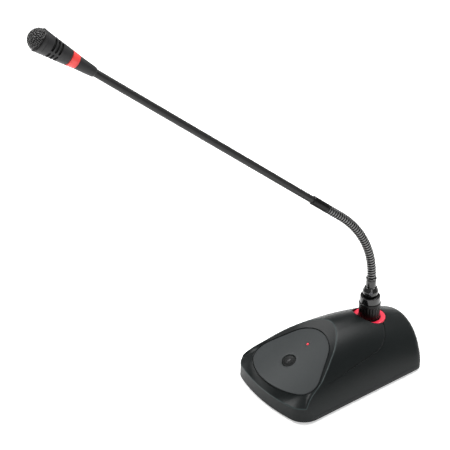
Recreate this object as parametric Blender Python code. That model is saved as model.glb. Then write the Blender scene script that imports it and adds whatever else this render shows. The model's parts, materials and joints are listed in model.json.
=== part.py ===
"""Gooseneck podium microphone: a desk base with a push button, and a plug-in neck with a long arm.

Metres, +Z up. The origin is on the desk, 47 mm in front of the socket. -Y is the front, towards the talker.
"""

import math

import bmesh
import bpy
from mathutils import Matrix, Vector

MM = 0.001
CLEARANCE = 0.3 * MM
LAP = 1.0 * MM

# Housing: a footprint that narrows to the rear, an arched cross-section and a falling top line
FRONT_HALF_WIDTH = 50.3 * MM
REAR_HALF_WIDTH = 42.3 * MM
FRONT_CORNER_Y = -63.2 * MM
FRONT_BOW = 8.4 * MM
FRONT_CORNER_RADIUS = 13.5 * MM
REAR_CORNER_Y = 75.4 * MM
REAR_BOW = 10 * MM
REAR_CORNER_RADIUS = 3.4 * MM
REAR_EDGE_RADIUS = 4 * MM
UNDERSIDE_Z = 2 * MM
WALL = 2.2 * MM
CREST_Z = 56.65 * MM
CREST_Y = -8.1 * MM
CREST_RADIUS = 231.8 * MM
ARCH_POWER = 1.81
ARCH_ROOT = 1.86
SKIRT_Z = 6 * MM
LIP_Z = 14.5 * MM
LIP_CORNER_Z = 16 * MM
LIP_SPAN = 0.94
CHIN_WALL = 2 * MM
CHIN_OVERSHOOT = 2.2
CHIN_BLEND = 0.75
FRONT_SPAN = 0.9
SKY_Z = 120 * MM

# Control surface: a sloped face, crowned across its width, in a teardrop recess
CONTROL_SLOPE = math.radians(24.07)
CROWN_RADIUS = 122 * MM
BUTTON_Y = -43.1 * MM
BUTTON_SURFACE_Z = 33.1 * MM
LED_DISTANCE = 22.5 * MM
PLATE_FRONT_REACH = 27.4 * MM
PLATE_REAR_REACH = 39.0 * MM
PLATE_FRONT_RADIUS = 52 * MM
PLATE_REAR_RADIUS = 28.3 * MM
PLATE_CORNER_RADIUS = 17.1 * MM
PLATE_SIDE_LEAN = math.radians(32.09)
PLATE_THICKNESS = 1.4 * MM
PLATE_GAP = 0.6 * MM
PLATE_MIDDLE = 4 * MM
BAND_WIDTH = 26 * MM
BAND_SLOPE = math.radians(33)

# Push button, lamp and circuit board
BUTTON_RADIUS = 6.1 * MM
BUTTON_GAP = 0.4 * MM
BUTTON_SINK = 0.3 * MM
BUTTON_HEIGHT = 5.6 * MM
BUTTON_FLANGE = 1.0 * MM
BUTTON_FLANGE_REACH = 1.4 * MM
BUTTON_TRAVEL = 1.2 * MM
LED_RADIUS = 1.1 * MM
LED_FOOT_RADIUS = 1.5 * MM
BOARD_DEPTH = 12.5 * MM
BOARD_THICKNESS = 1.6 * MM
BOARD_HALF_WIDTH = 21 * MM
BOARD_LENGTH = 46 * MM
BOARD_CENTRE = 10 * MM
BOARD_POST_RADIUS = 3 * MM
BOARD_POST_SIDE = 16 * MM
BOARD_POST_ALONG = 26 * MM
BOARD_SCREW_LENGTH = 7 * MM
SWITCH_HALF_WIDTH = 6 * MM
SWITCH_STEM_RADIUS = 3 * MM
SWITCH_STEM_HEIGHT = 1.5 * MM

# Bottom: cover, ballast, feet and screws
COVER_THICKNESS = 2.5 * MM
COVER_RECESS = 0.6 * MM
BALLAST_THICKNESS = 4 * MM
BALLAST_HALF_WIDTH = min(FRONT_HALF_WIDTH - 20.3 * MM, REAR_HALF_WIDTH - 12.3 * MM)
BALLAST_FRONT_Y = -42 * MM
BALLAST_REAR_Y = 60 * MM
FOOT_RADIUS = 6 * MM
FOOT_SIDES = 24
FOOT_FRONT = (FRONT_HALF_WIDTH - 14.3 * MM, -50 * MM)
FOOT_REAR = (REAR_HALF_WIDTH - 11.3 * MM, 64 * MM)
SCREW_RADIUS = 1.5 * MM
SCREW_HEAD_RADIUS = 2.8 * MM
SCREW_HEAD_HEIGHT = 1.3 * MM
SCREW_LENGTH = 11 * MM
SCREW_SPARE = 2 * MM
SCREW_FRONT = (FRONT_HALF_WIDTH - 13.3 * MM, -36 * MM)
SCREW_REAR = (REAR_HALF_WIDTH - 6.8 * MM, 34 * MM)
CROSS_REACH = 1.5 * MM
CROSS_HALF_WIDTH = 0.35 * MM
CROSS_DEPTH = 0.8 * MM
BOSS_RADIUS = 3.6 * MM
POST_TOP_Z = 70 * MM

# Socket well in the top of the housing, and what sits in it. Depths are below the light ring's top.
SOCKET_Y = 47 * MM
RING_Z = 46.15 * MM
WELL_RADIUS = 15.2 * MM
WELL_WALL = 2 * MM
WELL_DEPTH = 5.3 * MM
WELL_FLOOR = 2 * MM
RING_OUTER = 14.6 * MM
RING_INNER = 10.4 * MM
RING_THICKNESS = 1.6 * MM
RING_BOARD_THICKNESS = 0.8 * MM
SOCKET_OUTER = 11.3 * MM
SOCKET_BORE = 9.7 * MM
SOCKET_FLANGE = 14 * MM
SOCKET_FLANGE_THICKNESS = 1.6 * MM
SOCKET_DEPTH = 21.3 * MM
SOCKET_FLOOR = 2 * MM
NUT_RADIUS = 14 * MM
NUT_THICKNESS = 1.8 * MM
INSERT_RADIUS = 7.9 * MM
INSERT_TOP_DEPTH = 2.8 * MM
PIN_CIRCLE = 4 * MM
PIN_TURNS = (math.radians(150), math.radians(30), math.radians(270))
PIN_RADIUS = 1.2 * MM
PIN_HOLE_RADIUS = 1.6 * MM
PIN_TIP_DEPTH = 11.8 * MM
CONTACT_DEPTH = 26.3 * MM

# Output connector at the rear
OUTPUT_Z = 19 * MM
OUTPUT_FLAT_Y = 83.4 * MM
OUTPUT_BORE = 9.3 * MM
OUTPUT_OUTER = 10.8 * MM
OUTPUT_DEPTH = 14.5 * MM
OUTPUT_FLOOR = 3 * MM
OUTPUT_FLANGE_WIDTH = 26 * MM
OUTPUT_FLANGE_HEIGHT = 26 * MM
OUTPUT_FLANGE_THICKNESS = 1.6 * MM
OUTPUT_PAD_MARGIN = 2 * MM
OUTPUT_PIN_LENGTH = 9 * MM
OUTPUT_PIN_TAIL = 3 * MM
OUTPUT_SCREW_SIDE = 9.9 * MM
OUTPUT_SCREW_LENGTH = 8 * MM
OUTPUT_CUT_REACH = 20 * MM

# Plug and its lock collar, heights above the ring
PLUG_TUBE_RADIUS = 9.3 * MM
PLUG_TUBE_BORE = 8.5 * MM
PLUG_TUBE_DEPTH = 16 * MM
PLUG_CORE_RADIUS = 8.0 * MM
PLUG_CORE_BORE = 7.2 * MM
PLUG_WIRE_BORE = 3.1 * MM
PLUG_INSERT_RADIUS = 8.1 * MM
PLUG_INSERT_NECK = 6.9 * MM
PLUG_INSERT_BOTTOM = -1.8 * MM
PLUG_INSERT_TOP = 5 * MM
COLLAR_BOTTOM = 0.3 * MM
COLLAR_TOP = 15.8 * MM
COLLAR_FOOT_RADIUS = 9.5 * MM
COLLAR_TOP_RADIUS = 9.9 * MM
COLLAR_BORE = 8.35 * MM
COLLAR_LIP = 1.6 * MM
COLLAR_FLUTES = 20
COLLAR_FLUTE_RADIUS = 0.9 * MM
COLLAR_SIDES = 40
PLUG_NECK_RADIUS = 8.3 * MM
PLUG_NECK_TOP = 23.4 * MM
PLUG_BULB_TOP = 30.6 * MM
PLUG_BULB_RADIUS = 6.85 * MM
PLUG_TOP_RADIUS = 5.15 * MM
SET_SCREW_RADIUS = 1.5 * MM
SET_SCREW_SOCKET = 0.8 * MM
SET_SCREW_HEIGHT = 27 * MM
SET_SCREW_TURN = math.radians(-38)
SET_SCREW_LENGTH = 3 * MM
FERRULE_RADIUS = 4.6 * MM
FERRULE_BOTTOM = 25 * MM
FERRULE_TOP = 39.2 * MM
FERRULE_RING_RADIUS = 4.8 * MM
FERRULE_RING_HEIGHT = 1.9 * MM

# Flexible neck: an arc, then a short straight run, in an upright plane turned a little off the front
NECK_RADIUS = 3.7 * MM
NECK_TURN = math.radians(15.73)
NECK_BEND = math.radians(52.28)
NECK_ARC_RADIUS = 84.4 * MM
NECK_STRAIGHT = 14.5 * MM
NECK_JOINTS = 7
NECK_SIDES = 24
NECK_CUP_GAP = 0.35 * MM
NECK_TENON_RADIUS = 3.1 * MM
NECK_TENON_LENGTH = 4 * MM

# Arm and head, along the arm's axis
TUBE_FERRULE_RADIUS = 4.0 * MM
TUBE_FERRULE_LENGTH = 19.5 * MM
TUBE_RADIUS = 3.18 * MM
TUBE_BORE = 2.6 * MM
TUBE_LENGTH = 228.8 * MM
TUBE_SOCKET_DEPTH = 8 * MM
WIRE_BORE = 2 * MM
CONE_FOOT_RADIUS = 4.05 * MM
CONE_LENGTH = 16.7 * MM
CONE_SPIGOT_RADIUS = 4.2 * MM
HEAD_RING_START_RADIUS = 5.7 * MM
HEAD_RING_END_RADIUS = 6.5 * MM
HEAD_RING_LENGTH = 7.2 * MM
HOUSING_START = 24.2 * MM
HOUSING_FLOOR = 3 * MM
HOUSING_RIM = 50.3 * MM
HOUSING_RIM_RADIUS = 9.45 * MM
HOUSING_WALL = 1.3 * MM
SLOT_FIRST = 34.3 * MM
SLOT_PITCH = 3.25 * MM
SLOT_WIDTH = 1.8 * MM
SLOT_ROWS = 3
SLOT_GROUPS = 4
SLOT_SPAN = math.radians(66)
SLOT_INNER = 4 * MM
SLOT_OUTER = 13 * MM
GRILLE_RADIUS = 9.25 * MM
GRILLE_WALL = 0.9 * MM
GRILLE_STEPS = 8
CAPSULE_RADIUS = 4.9 * MM
CAPSULE_LENGTH = 5 * MM
CAPSULE_FRONT = 49.4 * MM
HOLDER_LENGTH = 3 * MM
HOLDER_BORE = 1.2 * MM

ROUND = 32
SMALL_ROUND = 16


# ---------------------------------------------------------------- tools


def clear_scene():
    for obj in list(bpy.data.objects):
        bpy.data.objects.remove(obj, do_unlink=True)


def material(name, colour, roughness, metallic=0.0, glow=None):
    mat = bpy.data.materials.get(name) or bpy.data.materials.new(name)
    mat.use_nodes = True
    shader = mat.node_tree.nodes["Principled BSDF"]
    shader.inputs["Base Color"].default_value = (*colour, 1.0)
    shader.inputs["Roughness"].default_value = roughness
    shader.inputs["Metallic"].default_value = metallic
    if glow:
        shader.inputs["Emission Color"].default_value = (*glow, 1.0)
        shader.inputs["Emission Strength"].default_value = 1.0
    mat.diffuse_color = (*colour, 1.0)
    return mat


def empty(name, matrix, parent=None):
    obj = bpy.data.objects.new(name, None)
    bpy.context.scene.collection.objects.link(obj)
    obj.parent = parent
    obj.empty_display_size = 5 * MM
    bpy.context.view_layer.update()
    obj.matrix_world = matrix
    bpy.context.view_layer.update()
    return obj


def solid(name, verts, faces, mat=None, parent=None):
    """An object from points and faces in its parent's frame."""
    mesh = bpy.data.meshes.new(name)
    bm = bmesh.new()
    made = [bm.verts.new(v) for v in verts]
    for face in faces:
        bm.faces.new([made[i] for i in face])
    bmesh.ops.recalc_face_normals(bm, faces=bm.faces)
    bm.to_mesh(mesh)
    bm.free()
    mesh.shade_smooth()
    mesh.set_sharp_from_angle(angle=math.radians(35))
    if mat:
        mesh.materials.append(mat)
    obj = bpy.data.objects.new(name, mesh)
    bpy.context.scene.collection.objects.link(obj)
    obj.parent = parent
    return obj


def lathe_data(profile, segments=ROUND):
    """Points and faces of (radius, height) pairs turned about Z.

    A profile that starts and ends on the axis is solid. Any other is a closed ring.
    """
    verts = []
    rings = []
    for radius, height in profile:
        if radius <= 0:
            rings.append([len(verts)])
            verts.append((0.0, 0.0, height))
            continue
        rings.append(list(range(len(verts), len(verts) + segments)))
        for i in range(segments):
            turn = 2 * math.pi * i / segments
            verts.append((radius * math.cos(turn), radius * math.sin(turn), height))
    closed = len(rings[0]) > 1
    pairs = list(zip(rings, rings[1:]))
    if closed:
        pairs.append((rings[-1], rings[0]))
    faces = []
    for a, b in pairs:
        for i in range(segments):
            j = (i + 1) % segments
            if len(a) == 1 and len(b) > 1:
                faces.append((a[0], b[i], b[j]))
            elif len(b) == 1 and len(a) > 1:
                faces.append((a[i], b[0], a[j]))
            elif len(a) > 1:
                faces.append((a[i], b[i], b[j], a[j]))
    return verts, faces


def lathe(name, profile, mat=None, parent=None, segments=ROUND):
    verts, faces = lathe_data(profile, segments)
    return solid(name, verts, faces, mat, parent)


def rod(name, radius, bottom, top, mat=None, parent=None, segments=SMALL_ROUND):
    return lathe(name, [(0, bottom), (radius, bottom), (radius, top), (0, top)], mat, parent, segments)


def prism(name, outline, bottom, top, mat=None, parent=None):
    """An outline of (x, y) points raised from one height to another."""
    count = len(outline)
    verts = [(x, y, bottom) for x, y in outline] + [(x, y, top) for x, y in outline]
    faces = [tuple(range(count)), tuple(range(count, 2 * count))]
    for i in range(count):
        j = (i + 1) % count
        faces.append((i, j, count + j, count + i))
    return solid(name, verts, faces, mat, parent)


def box(name, low, high, mat=None, parent=None):
    outline = [(low[0], low[1]), (high[0], low[1]), (high[0], high[1]), (low[0], high[1])]
    return prism(name, outline, low[2], high[2], mat, parent)


def cutter(obj):
    obj.hide_render = True
    obj.display_type = "WIRE"
    return obj


def boolean(obj, other, operation="DIFFERENCE"):
    step = obj.modifiers.new(f"{operation.title()} {other.name}", "BOOLEAN")
    step.operation = operation
    step.object = cutter(other)
    return obj


def ring_of(radius, count, start=0.0):
    turns = [start + 2 * math.pi * i / count for i in range(count)]
    return [(radius * math.cos(turn), radius * math.sin(turn)) for turn in turns]


def moved(outline, x, y):
    return [(px + x, py + y) for px, py in outline]


def smooth_step(value, start, end):
    t = min(1.0, max(0.0, (value - start) / (end - start)))
    return t * t * (3 - 2 * t)


# ---------------------------------------------------------------- shape of the base
# "across" runs from -1 at the housing's left side to 1 at its right side.


def half_width_at(y, inset=0.0):
    share = (y - FRONT_CORNER_Y) / (REAR_CORNER_Y - FRONT_CORNER_Y)
    return FRONT_HALF_WIDTH + (REAR_HALF_WIDTH - FRONT_HALF_WIDTH) * share - inset


def corner_pull(across, half_width, radius):
    over = min(radius, max(0.0, abs(across) * half_width - (half_width - radius)))
    return radius - math.sqrt(max(0.0, radius**2 - over**2))


def front_edge(across, inset=0.0):
    bow = FRONT_BOW * (1 - across**2)
    return FRONT_CORNER_Y + inset - bow + corner_pull(across, FRONT_HALF_WIDTH - inset, FRONT_CORNER_RADIUS)


def rear_edge(across, inset=0.0):
    bow = REAR_BOW * (1 - across**2)
    return REAR_CORNER_Y - inset + bow - corner_pull(across, REAR_HALF_WIDTH - inset, REAR_CORNER_RADIUS)


def spread(count):
    """Places across the housing, closer together towards its sides."""
    return [math.sin(math.pi * (i / (count - 1) - 0.5)) for i in range(count)]


def footprint(inset, front_extra, count=29):
    """The base's outline, as points round it."""
    front = [(across, front_edge(across, inset) + front_extra) for across in spread(count)]
    rear = [(across, rear_edge(across, inset)) for across in reversed(spread(count))]
    return [(across * half_width_at(y, inset), y) for across, y in front + rear]


def crest(y):
    """Height of the housing's top line: level at the front, then an arc that falls to the rear."""
    return CREST_Z - max(0.0, y - CREST_Y) ** 2 / (2 * CREST_RADIUS)


def hull_height(across, y, inset=0.0):
    share = max(0.0, 1 - abs(across) ** ARCH_POWER) ** (1 / ARCH_ROOT)
    over = min(0.9 * REAR_EDGE_RADIUS, max(0.0, y - rear_edge(across, inset) + REAR_EDGE_RADIUS))
    drop = REAR_EDGE_RADIUS - math.sqrt(REAR_EDGE_RADIUS**2 - over**2)
    return UNDERSIDE_Z + (crest(y) - inset - UNDERSIDE_Z) * share - drop


def hull(name, inset, floor_z, mat=None, front_extra=0.0):
    """The housing's arched form before its controls are cut, as a closed solid on an upright skirt."""
    columns, rows = 29, 17
    verts = []
    top = []
    for across in spread(columns):
        front, rear = front_edge(across, inset) + front_extra, rear_edge(across, inset)
        line = []
        for j in range(rows):
            y = front + (rear - front) * math.sin(0.5 * math.pi * j / (rows - 1))
            line.append(len(verts))
            verts.append((across * half_width_at(y, inset), y, max(SKIRT_Z, hull_height(across, y, inset))))
        top.append(line)
    faces = []
    for i in range(columns - 1):
        for j in range(rows - 1):
            faces.append((top[i][j], top[i + 1][j], top[i + 1][j + 1], top[i][j + 1]))
    rim = [line[0] for line in top] + top[-1][1:-1]
    rim += [line[-1] for line in reversed(top)] + top[0][-2:0:-1]
    feet = list(range(len(verts), len(verts) + len(rim)))
    verts += [(verts[i][0], verts[i][1], floor_z) for i in rim]
    for i in range(len(rim)):
        j = (i + 1) % len(rim)
        faces.append((rim[i], rim[j], feet[j], feet[i]))
    faces.append(tuple(feet))
    return solid(name, verts, faces, mat)


def control_height(x, y):
    return BUTTON_SURFACE_Z + math.tan(CONTROL_SLOPE) * (y - BUTTON_Y) - x**2 / (2 * CROWN_RADIUS)


def control_frame():
    """On the control surface at the button: Y up the slope, Z square to it."""
    return Matrix.Translation((0, BUTTON_Y, BUTTON_SURFACE_Z)) @ Matrix.Rotation(CONTROL_SLOPE, 4, "X")


def teardrop(grow=0.0, arc_points=9):
    """The control plate's outline seen square to its slope, as (x, y, angle faced), starting at the front."""
    lean = PLATE_SIDE_LEAN
    front_centre = PLATE_FRONT_RADIUS - PLATE_FRONT_REACH
    rear_centre = PLATE_REAR_REACH - PLATE_REAR_RADIUS
    side = math.sin(lean) * rear_centre + PLATE_REAR_RADIUS - PLATE_CORNER_RADIUS
    reach = PLATE_FRONT_RADIUS - PLATE_CORNER_RADIUS
    corner_turn = lean - math.acos((side - math.sin(lean) * front_centre) / reach)
    corner_x = reach * math.cos(corner_turn)
    corner_y = front_centre + reach * math.sin(corner_turn)
    arcs = (
        (0, front_centre, PLATE_FRONT_RADIUS, -math.pi / 2, corner_turn, arc_points),
        (corner_x, corner_y, PLATE_CORNER_RADIUS, corner_turn, lean, 8),
        (0, rear_centre, PLATE_REAR_RADIUS, lean, math.pi / 2, arc_points),
    )
    right = []
    for x, y, radius, start, end, count in arcs:
        for i in range(count):
            turn = start + (end - start) * i / (count - 1)
            if i == 0 and right:
                continue
            right.append((x + (radius + grow) * math.cos(turn), y + (radius + grow) * math.sin(turn), turn))
        if radius == PLATE_CORNER_RADIUS:
            x0, y0, _ = right[-1]
            x1 = (PLATE_REAR_RADIUS + grow) * math.cos(lean)
            y1 = rear_centre + (PLATE_REAR_RADIUS + grow) * math.sin(lean)
            for i in range(1, 5):
                right.append((x0 + (x1 - x0) * i / 5, y0 + (y1 - y0) * i / 5, lean))
            right.append((x1, y1, lean))
    left = [(-x, y, math.pi - turn) for x, y, turn in reversed(right[1:-1])]
    return right + left


def on_slope(x, along, lift=0.0):
    """A point of the control surface, along the slope from the button, lifted square to it."""
    y = BUTTON_Y + along * math.cos(CONTROL_SLOPE) - lift * math.sin(CONTROL_SLOPE)
    z = control_height(x, BUTTON_Y + along * math.cos(CONTROL_SLOPE)) + lift * math.cos(CONTROL_SLOPE)
    return (x, y, z)


def layered(name, rings, mat=None):
    """A closed solid from rings of equal length. The first and the last end in a fan."""
    count = len(rings[0])
    verts = [point for ring in rings for point in ring]
    faces = []
    for k in range(len(rings) - 1):
        for i in range(count):
            j = (i + 1) % count
            faces.append((k * count + i, k * count + j, (k + 1) * count + j, (k + 1) * count + i))
    for start, ring in ((0, rings[0]), ((len(rings) - 1) * count, rings[-1])):
        middle = len(verts)
        verts.append(tuple(sum(p[axis] for p in ring) / count for axis in range(3)))
        for i in range(count):
            faces.append((middle, start + i, start + (i + 1) % count))
    return solid(name, verts, faces, mat)


def crowned_rings(outline, lift, shares=(0.25, 0.5, 0.75, 1.0)):
    """Rings on the control surface that shrink towards a point on its middle line."""
    return [
        [on_slope(x * share, PLATE_MIDDLE + (y - PLATE_MIDDLE) * share, lift) for x, y, _ in outline]
        for share in shares
    ]


def recess(name, sink, grow, chin):
    """What is cut from the hull over the control surface: a crowned floor and a sloped band round it.

    If asked, it also cuts the chin at the front and the plate's seat, a step down round its outline.
    """
    inner = teardrop(PLATE_GAP + grow)
    turns = [turn for x, _, turn in inner if x > 0 and turn > FRONT_SPAN - math.pi / 2]
    front_turn = min(turns) + math.pi / 2
    outer, sky = [], []
    for x, y, turn in inner:
        edge = Vector(on_slope(x, y, -sink))
        flat = Vector(on_slope(x + BAND_WIDTH * math.cos(turn), y + BAND_WIDTH * math.sin(turn), -sink))
        band = flat.copy()
        band.z = edge.z + BAND_WIDTH * math.tan(BAND_SLOPE)
        off = abs((turn + math.pi / 2 + math.pi) % (2 * math.pi) - math.pi)
        side = min(1.0, off / front_turn)
        across = math.copysign(side, x) * LIP_SPAN
        lip_y = front_edge(across)
        lip = Vector((across * half_width_at(lip_y), lip_y, LIP_Z + (LIP_CORNER_Z - LIP_Z) * side**2))
        front = edge + (lip - edge) * CHIN_OVERSHOOT if chin else flat
        point = front.lerp(band, smooth_step(off, front_turn, front_turn + CHIN_BLEND))
        outer.append(tuple(point))
        sky.append((point.x, point.y, SKY_Z))
    floor = sink + (PLATE_THICKNESS + CLEARANCE if chin else 0)
    rings = crowned_rings(inner, -floor)
    if chin:
        rings.append([on_slope(x, y, -sink) for x, y, _ in inner])
    return layered(name, rings + [outer, sky])


# ---------------------------------------------------------------- base pieces


def mirrored(place):
    """A place on the left and its twin on the right."""
    x, y = place
    return [(-x, y), (x, y)]


def cover_screw_places():
    return mirrored(SCREW_FRONT) + mirrored(SCREW_REAR)


def foot_places():
    return mirrored(FOOT_FRONT) + mirrored(FOOT_REAR)


def board_post_places():
    return mirrored((BOARD_POST_SIDE, BOARD_POST_ALONG))


def round_at(radius, place, sides=SMALL_ROUND):
    return moved(ring_of(radius, sides), *place)


def housing_posts():
    """Posts for the cover's screws and the board's screws, left standing inside the housing."""
    bottom = UNDERSIDE_Z + COVER_THICKNESS + CLEARANCE
    posts = []
    for i, place in enumerate(cover_screw_places()):
        posts.append(prism(f"boss_{i + 1}", round_at(BOSS_RADIUS, place), bottom, POST_TOP_Z))
    frame = empty("board_post_frame", control_frame())
    for i, place in enumerate(board_post_places()):
        outline = round_at(BOARD_POST_RADIUS, place)
        low, high = CLEARANCE - BOARD_DEPTH, BOARD_DEPTH
        posts.append(prism(f"board_post_{i + 1}", outline, low, high, parent=frame))
    return posts


def make_top_housing(mats):
    housing = hull("top_housing", 0.0, UNDERSIDE_Z, mats["body"])
    boolean(housing, recess("recess_cut", 0.0, 0.0, True))
    boolean(housing, housing_void())
    cut_well(housing)
    cut_output_seat(housing)
    cut_control_holes(housing)
    hole_top = UNDERSIDE_Z + SCREW_LENGTH + SCREW_SPARE
    for i, place in enumerate(cover_screw_places()):
        hole = round_at(SCREW_RADIUS + CLEARANCE, place)
        boolean(housing, prism(f"boss_hole_{i + 1}", hole, UNDERSIDE_Z, hole_top))
    return housing


def housing_void():
    """The space inside the housing, less the blocks and posts that stay solid."""
    void = hull("void", WALL, UNDERSIDE_Z - LAP, front_extra=CHIN_WALL)
    sink = PLATE_THICKNESS + CLEARANCE + WALL
    boolean(void, recess("void_recess_cut", sink, WALL, False))
    well = round_at(WELL_RADIUS + WELL_WALL, (0, SOCKET_Y), ROUND)
    boolean(void, prism("well_block", well, RING_Z - WELL_DEPTH - WELL_FLOOR, POST_TOP_Z))
    pad = OUTPUT_FLANGE_WIDTH / 2 + OUTPUT_PAD_MARGIN
    pad_front = OUTPUT_FLAT_Y - WALL - OUTPUT_FLANGE_THICKNESS
    low = (-pad, pad_front, UNDERSIDE_Z + COVER_THICKNESS + CLEARANCE)
    boolean(void, box("output_pad", low, (pad, OUTPUT_FLAT_Y + OUTPUT_CUT_REACH, POST_TOP_Z)))
    for post in housing_posts():
        boolean(void, post)
    return void


def cut_well(housing):
    floor = RING_Z - WELL_DEPTH
    bore = round_at(WELL_RADIUS, (0, SOCKET_Y), ROUND)
    boolean(housing, prism("well_bore", bore, floor, POST_TOP_Z))
    passage = round_at(SOCKET_OUTER + CLEARANCE, (0, SOCKET_Y), ROUND)
    boolean(housing, prism("well_passage", passage, floor - WELL_FLOOR - LAP, floor + LAP))


def cut_output_seat(housing):
    half_w = OUTPUT_FLANGE_WIDTH / 2 + CLEARANCE
    half_h = OUTPUT_FLANGE_HEIGHT / 2 + CLEARANCE
    high = (half_w, OUTPUT_FLAT_Y + OUTPUT_CUT_REACH, OUTPUT_Z + half_h)
    boolean(housing, box("output_flat", (-half_w, OUTPUT_FLAT_Y, OUTPUT_Z - half_h), high))
    rear = empty("output_frame", output_matrix())
    reach = OUTPUT_CUT_REACH / 2
    hole = rod("output_hole", OUTPUT_OUTER + CLEARANCE, -reach, reach, parent=rear, segments=ROUND)
    boolean(housing, hole)
    for i, place in enumerate(output_screw_places()):
        hole = round_at(SCREW_RADIUS + CLEARANCE, place)
        boolean(housing, prism(f"output_screw_hole_{i + 1}", hole, -reach, reach, parent=rear))


def cut_control_holes(housing):
    frame = empty("control_frame", control_frame())
    bottom = -(PLATE_THICKNESS + CLEARANCE + WALL + LAP)
    button_hole = ring_of(BUTTON_RADIUS + BUTTON_GAP, ROUND)
    boolean(housing, prism("button_hole", button_hole, bottom, LAP, parent=frame))
    led_hole = round_at(LED_RADIUS + CLEARANCE, (0, LED_DISTANCE))
    boolean(housing, prism("led_hole", led_hole, bottom, LAP, parent=frame))
    low = -BOARD_DEPTH - LAP
    high = low + BOARD_SCREW_LENGTH
    for i, place in enumerate(board_post_places()):
        hole = round_at(SCREW_RADIUS + CLEARANCE, place)
        boolean(housing, prism(f"board_screw_hole_{i + 1}", hole, low, high, parent=frame))


def output_matrix():
    """At the output connector: Z points out of the rear, X to the right as seen from the front."""
    return Matrix.Translation((0, OUTPUT_FLAT_Y, OUTPUT_Z)) @ Matrix.Rotation(-math.pi / 2, 4, "X")


def output_screw_places():
    """Two screws on a diagonal of the flange."""
    return [(-OUTPUT_SCREW_SIDE, OUTPUT_SCREW_SIDE), (OUTPUT_SCREW_SIDE, -OUTPUT_SCREW_SIDE)]


def make_bottom(mats):
    top = UNDERSIDE_Z + COVER_THICKNESS
    cover = prism("bottom_cover", footprint(WALL + CLEARANCE, CHIN_WALL), UNDERSIDE_Z, top, mats["cover"])
    pocket_top = UNDERSIDE_Z + COVER_RECESS
    for i, place in enumerate(foot_places()):
        pocket = round_at(FOOT_RADIUS + CLEARANCE, place, FOOT_SIDES)
        boolean(cover, prism(f"foot_pocket_{i + 1}", pocket, 0, pocket_top))
        foot = round_at(FOOT_RADIUS, place, FOOT_SIDES)
        prism(f"foot_{i + 1}", foot, 0, pocket_top - CLEARANCE, mats["rubber"])
    for i, place in enumerate(cover_screw_places()):
        head = round_at(SCREW_HEAD_RADIUS + CLEARANCE, place)
        hole = round_at(SCREW_RADIUS + CLEARANCE, place)
        boolean(cover, prism(f"head_pocket_{i + 1}", head, 0, UNDERSIDE_Z + SCREW_HEAD_HEIGHT + CLEARANCE))
        boolean(cover, prism(f"cover_hole_{i + 1}", hole, 0, top + LAP))
        turned = Matrix.Translation((*place, UNDERSIDE_Z)) @ Matrix.Rotation(math.pi, 4, "X")
        make_screw(f"cover_screw_{i + 1}", turned, SCREW_LENGTH, mats["steel"])
    low = (-BALLAST_HALF_WIDTH, BALLAST_FRONT_Y, top + CLEARANCE)
    high = (BALLAST_HALF_WIDTH, BALLAST_REAR_Y, top + CLEARANCE + BALLAST_THICKNESS)
    box("ballast_plate", low, high, mats["zinc"])


def make_screw(name, place, length, mat):
    """A pan-head screw with a cross recess. Its head's top is at the frame's origin, facing +Z."""
    frame = empty(f"{name}_frame", place)
    profile = [
        (0, -length),
        (SCREW_RADIUS * 0.6, -length),
        (SCREW_RADIUS, -length + 1 * MM),
        (SCREW_RADIUS, -SCREW_HEAD_HEIGHT),
        (SCREW_HEAD_RADIUS, -SCREW_HEAD_HEIGHT),
        (SCREW_HEAD_RADIUS, -SCREW_HEAD_HEIGHT / 3),
        (SCREW_HEAD_RADIUS * 0.7, 0),
        (0, 0),
    ]
    screw = lathe(name, profile, mat, frame, SMALL_ROUND)
    long, thin = CROSS_REACH, CROSS_HALF_WIDTH
    arm = [(long, thin), (thin, thin), (thin, long)]
    cross = arm + [(-x, y) for x, y in reversed(arm)]
    cross += [(-x, -y) for x, y in arm] + [(x, -y) for x, y in reversed(arm)]
    return boolean(screw, prism(f"{name}_cross", cross, -CROSS_DEPTH, LAP, parent=frame))


def make_control_plate(mats):
    outline = teardrop()
    top = crowned_rings(outline, 0.0)
    bottom = crowned_rings(outline, -PLATE_THICKNESS)
    plate = layered("control_plate", bottom + top[::-1], mats["plate"])
    frame = empty("plate_frame", control_frame())
    low, high = -PLATE_THICKNESS - LAP, LAP
    hole = ring_of(BUTTON_RADIUS + BUTTON_GAP, ROUND)
    boolean(plate, prism("plate_button_hole", hole, low, high, parent=frame))
    led = round_at(LED_RADIUS + CLEARANCE, (0, LED_DISTANCE))
    boolean(plate, prism("plate_led_hole", led, low, high, parent=frame))


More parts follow.
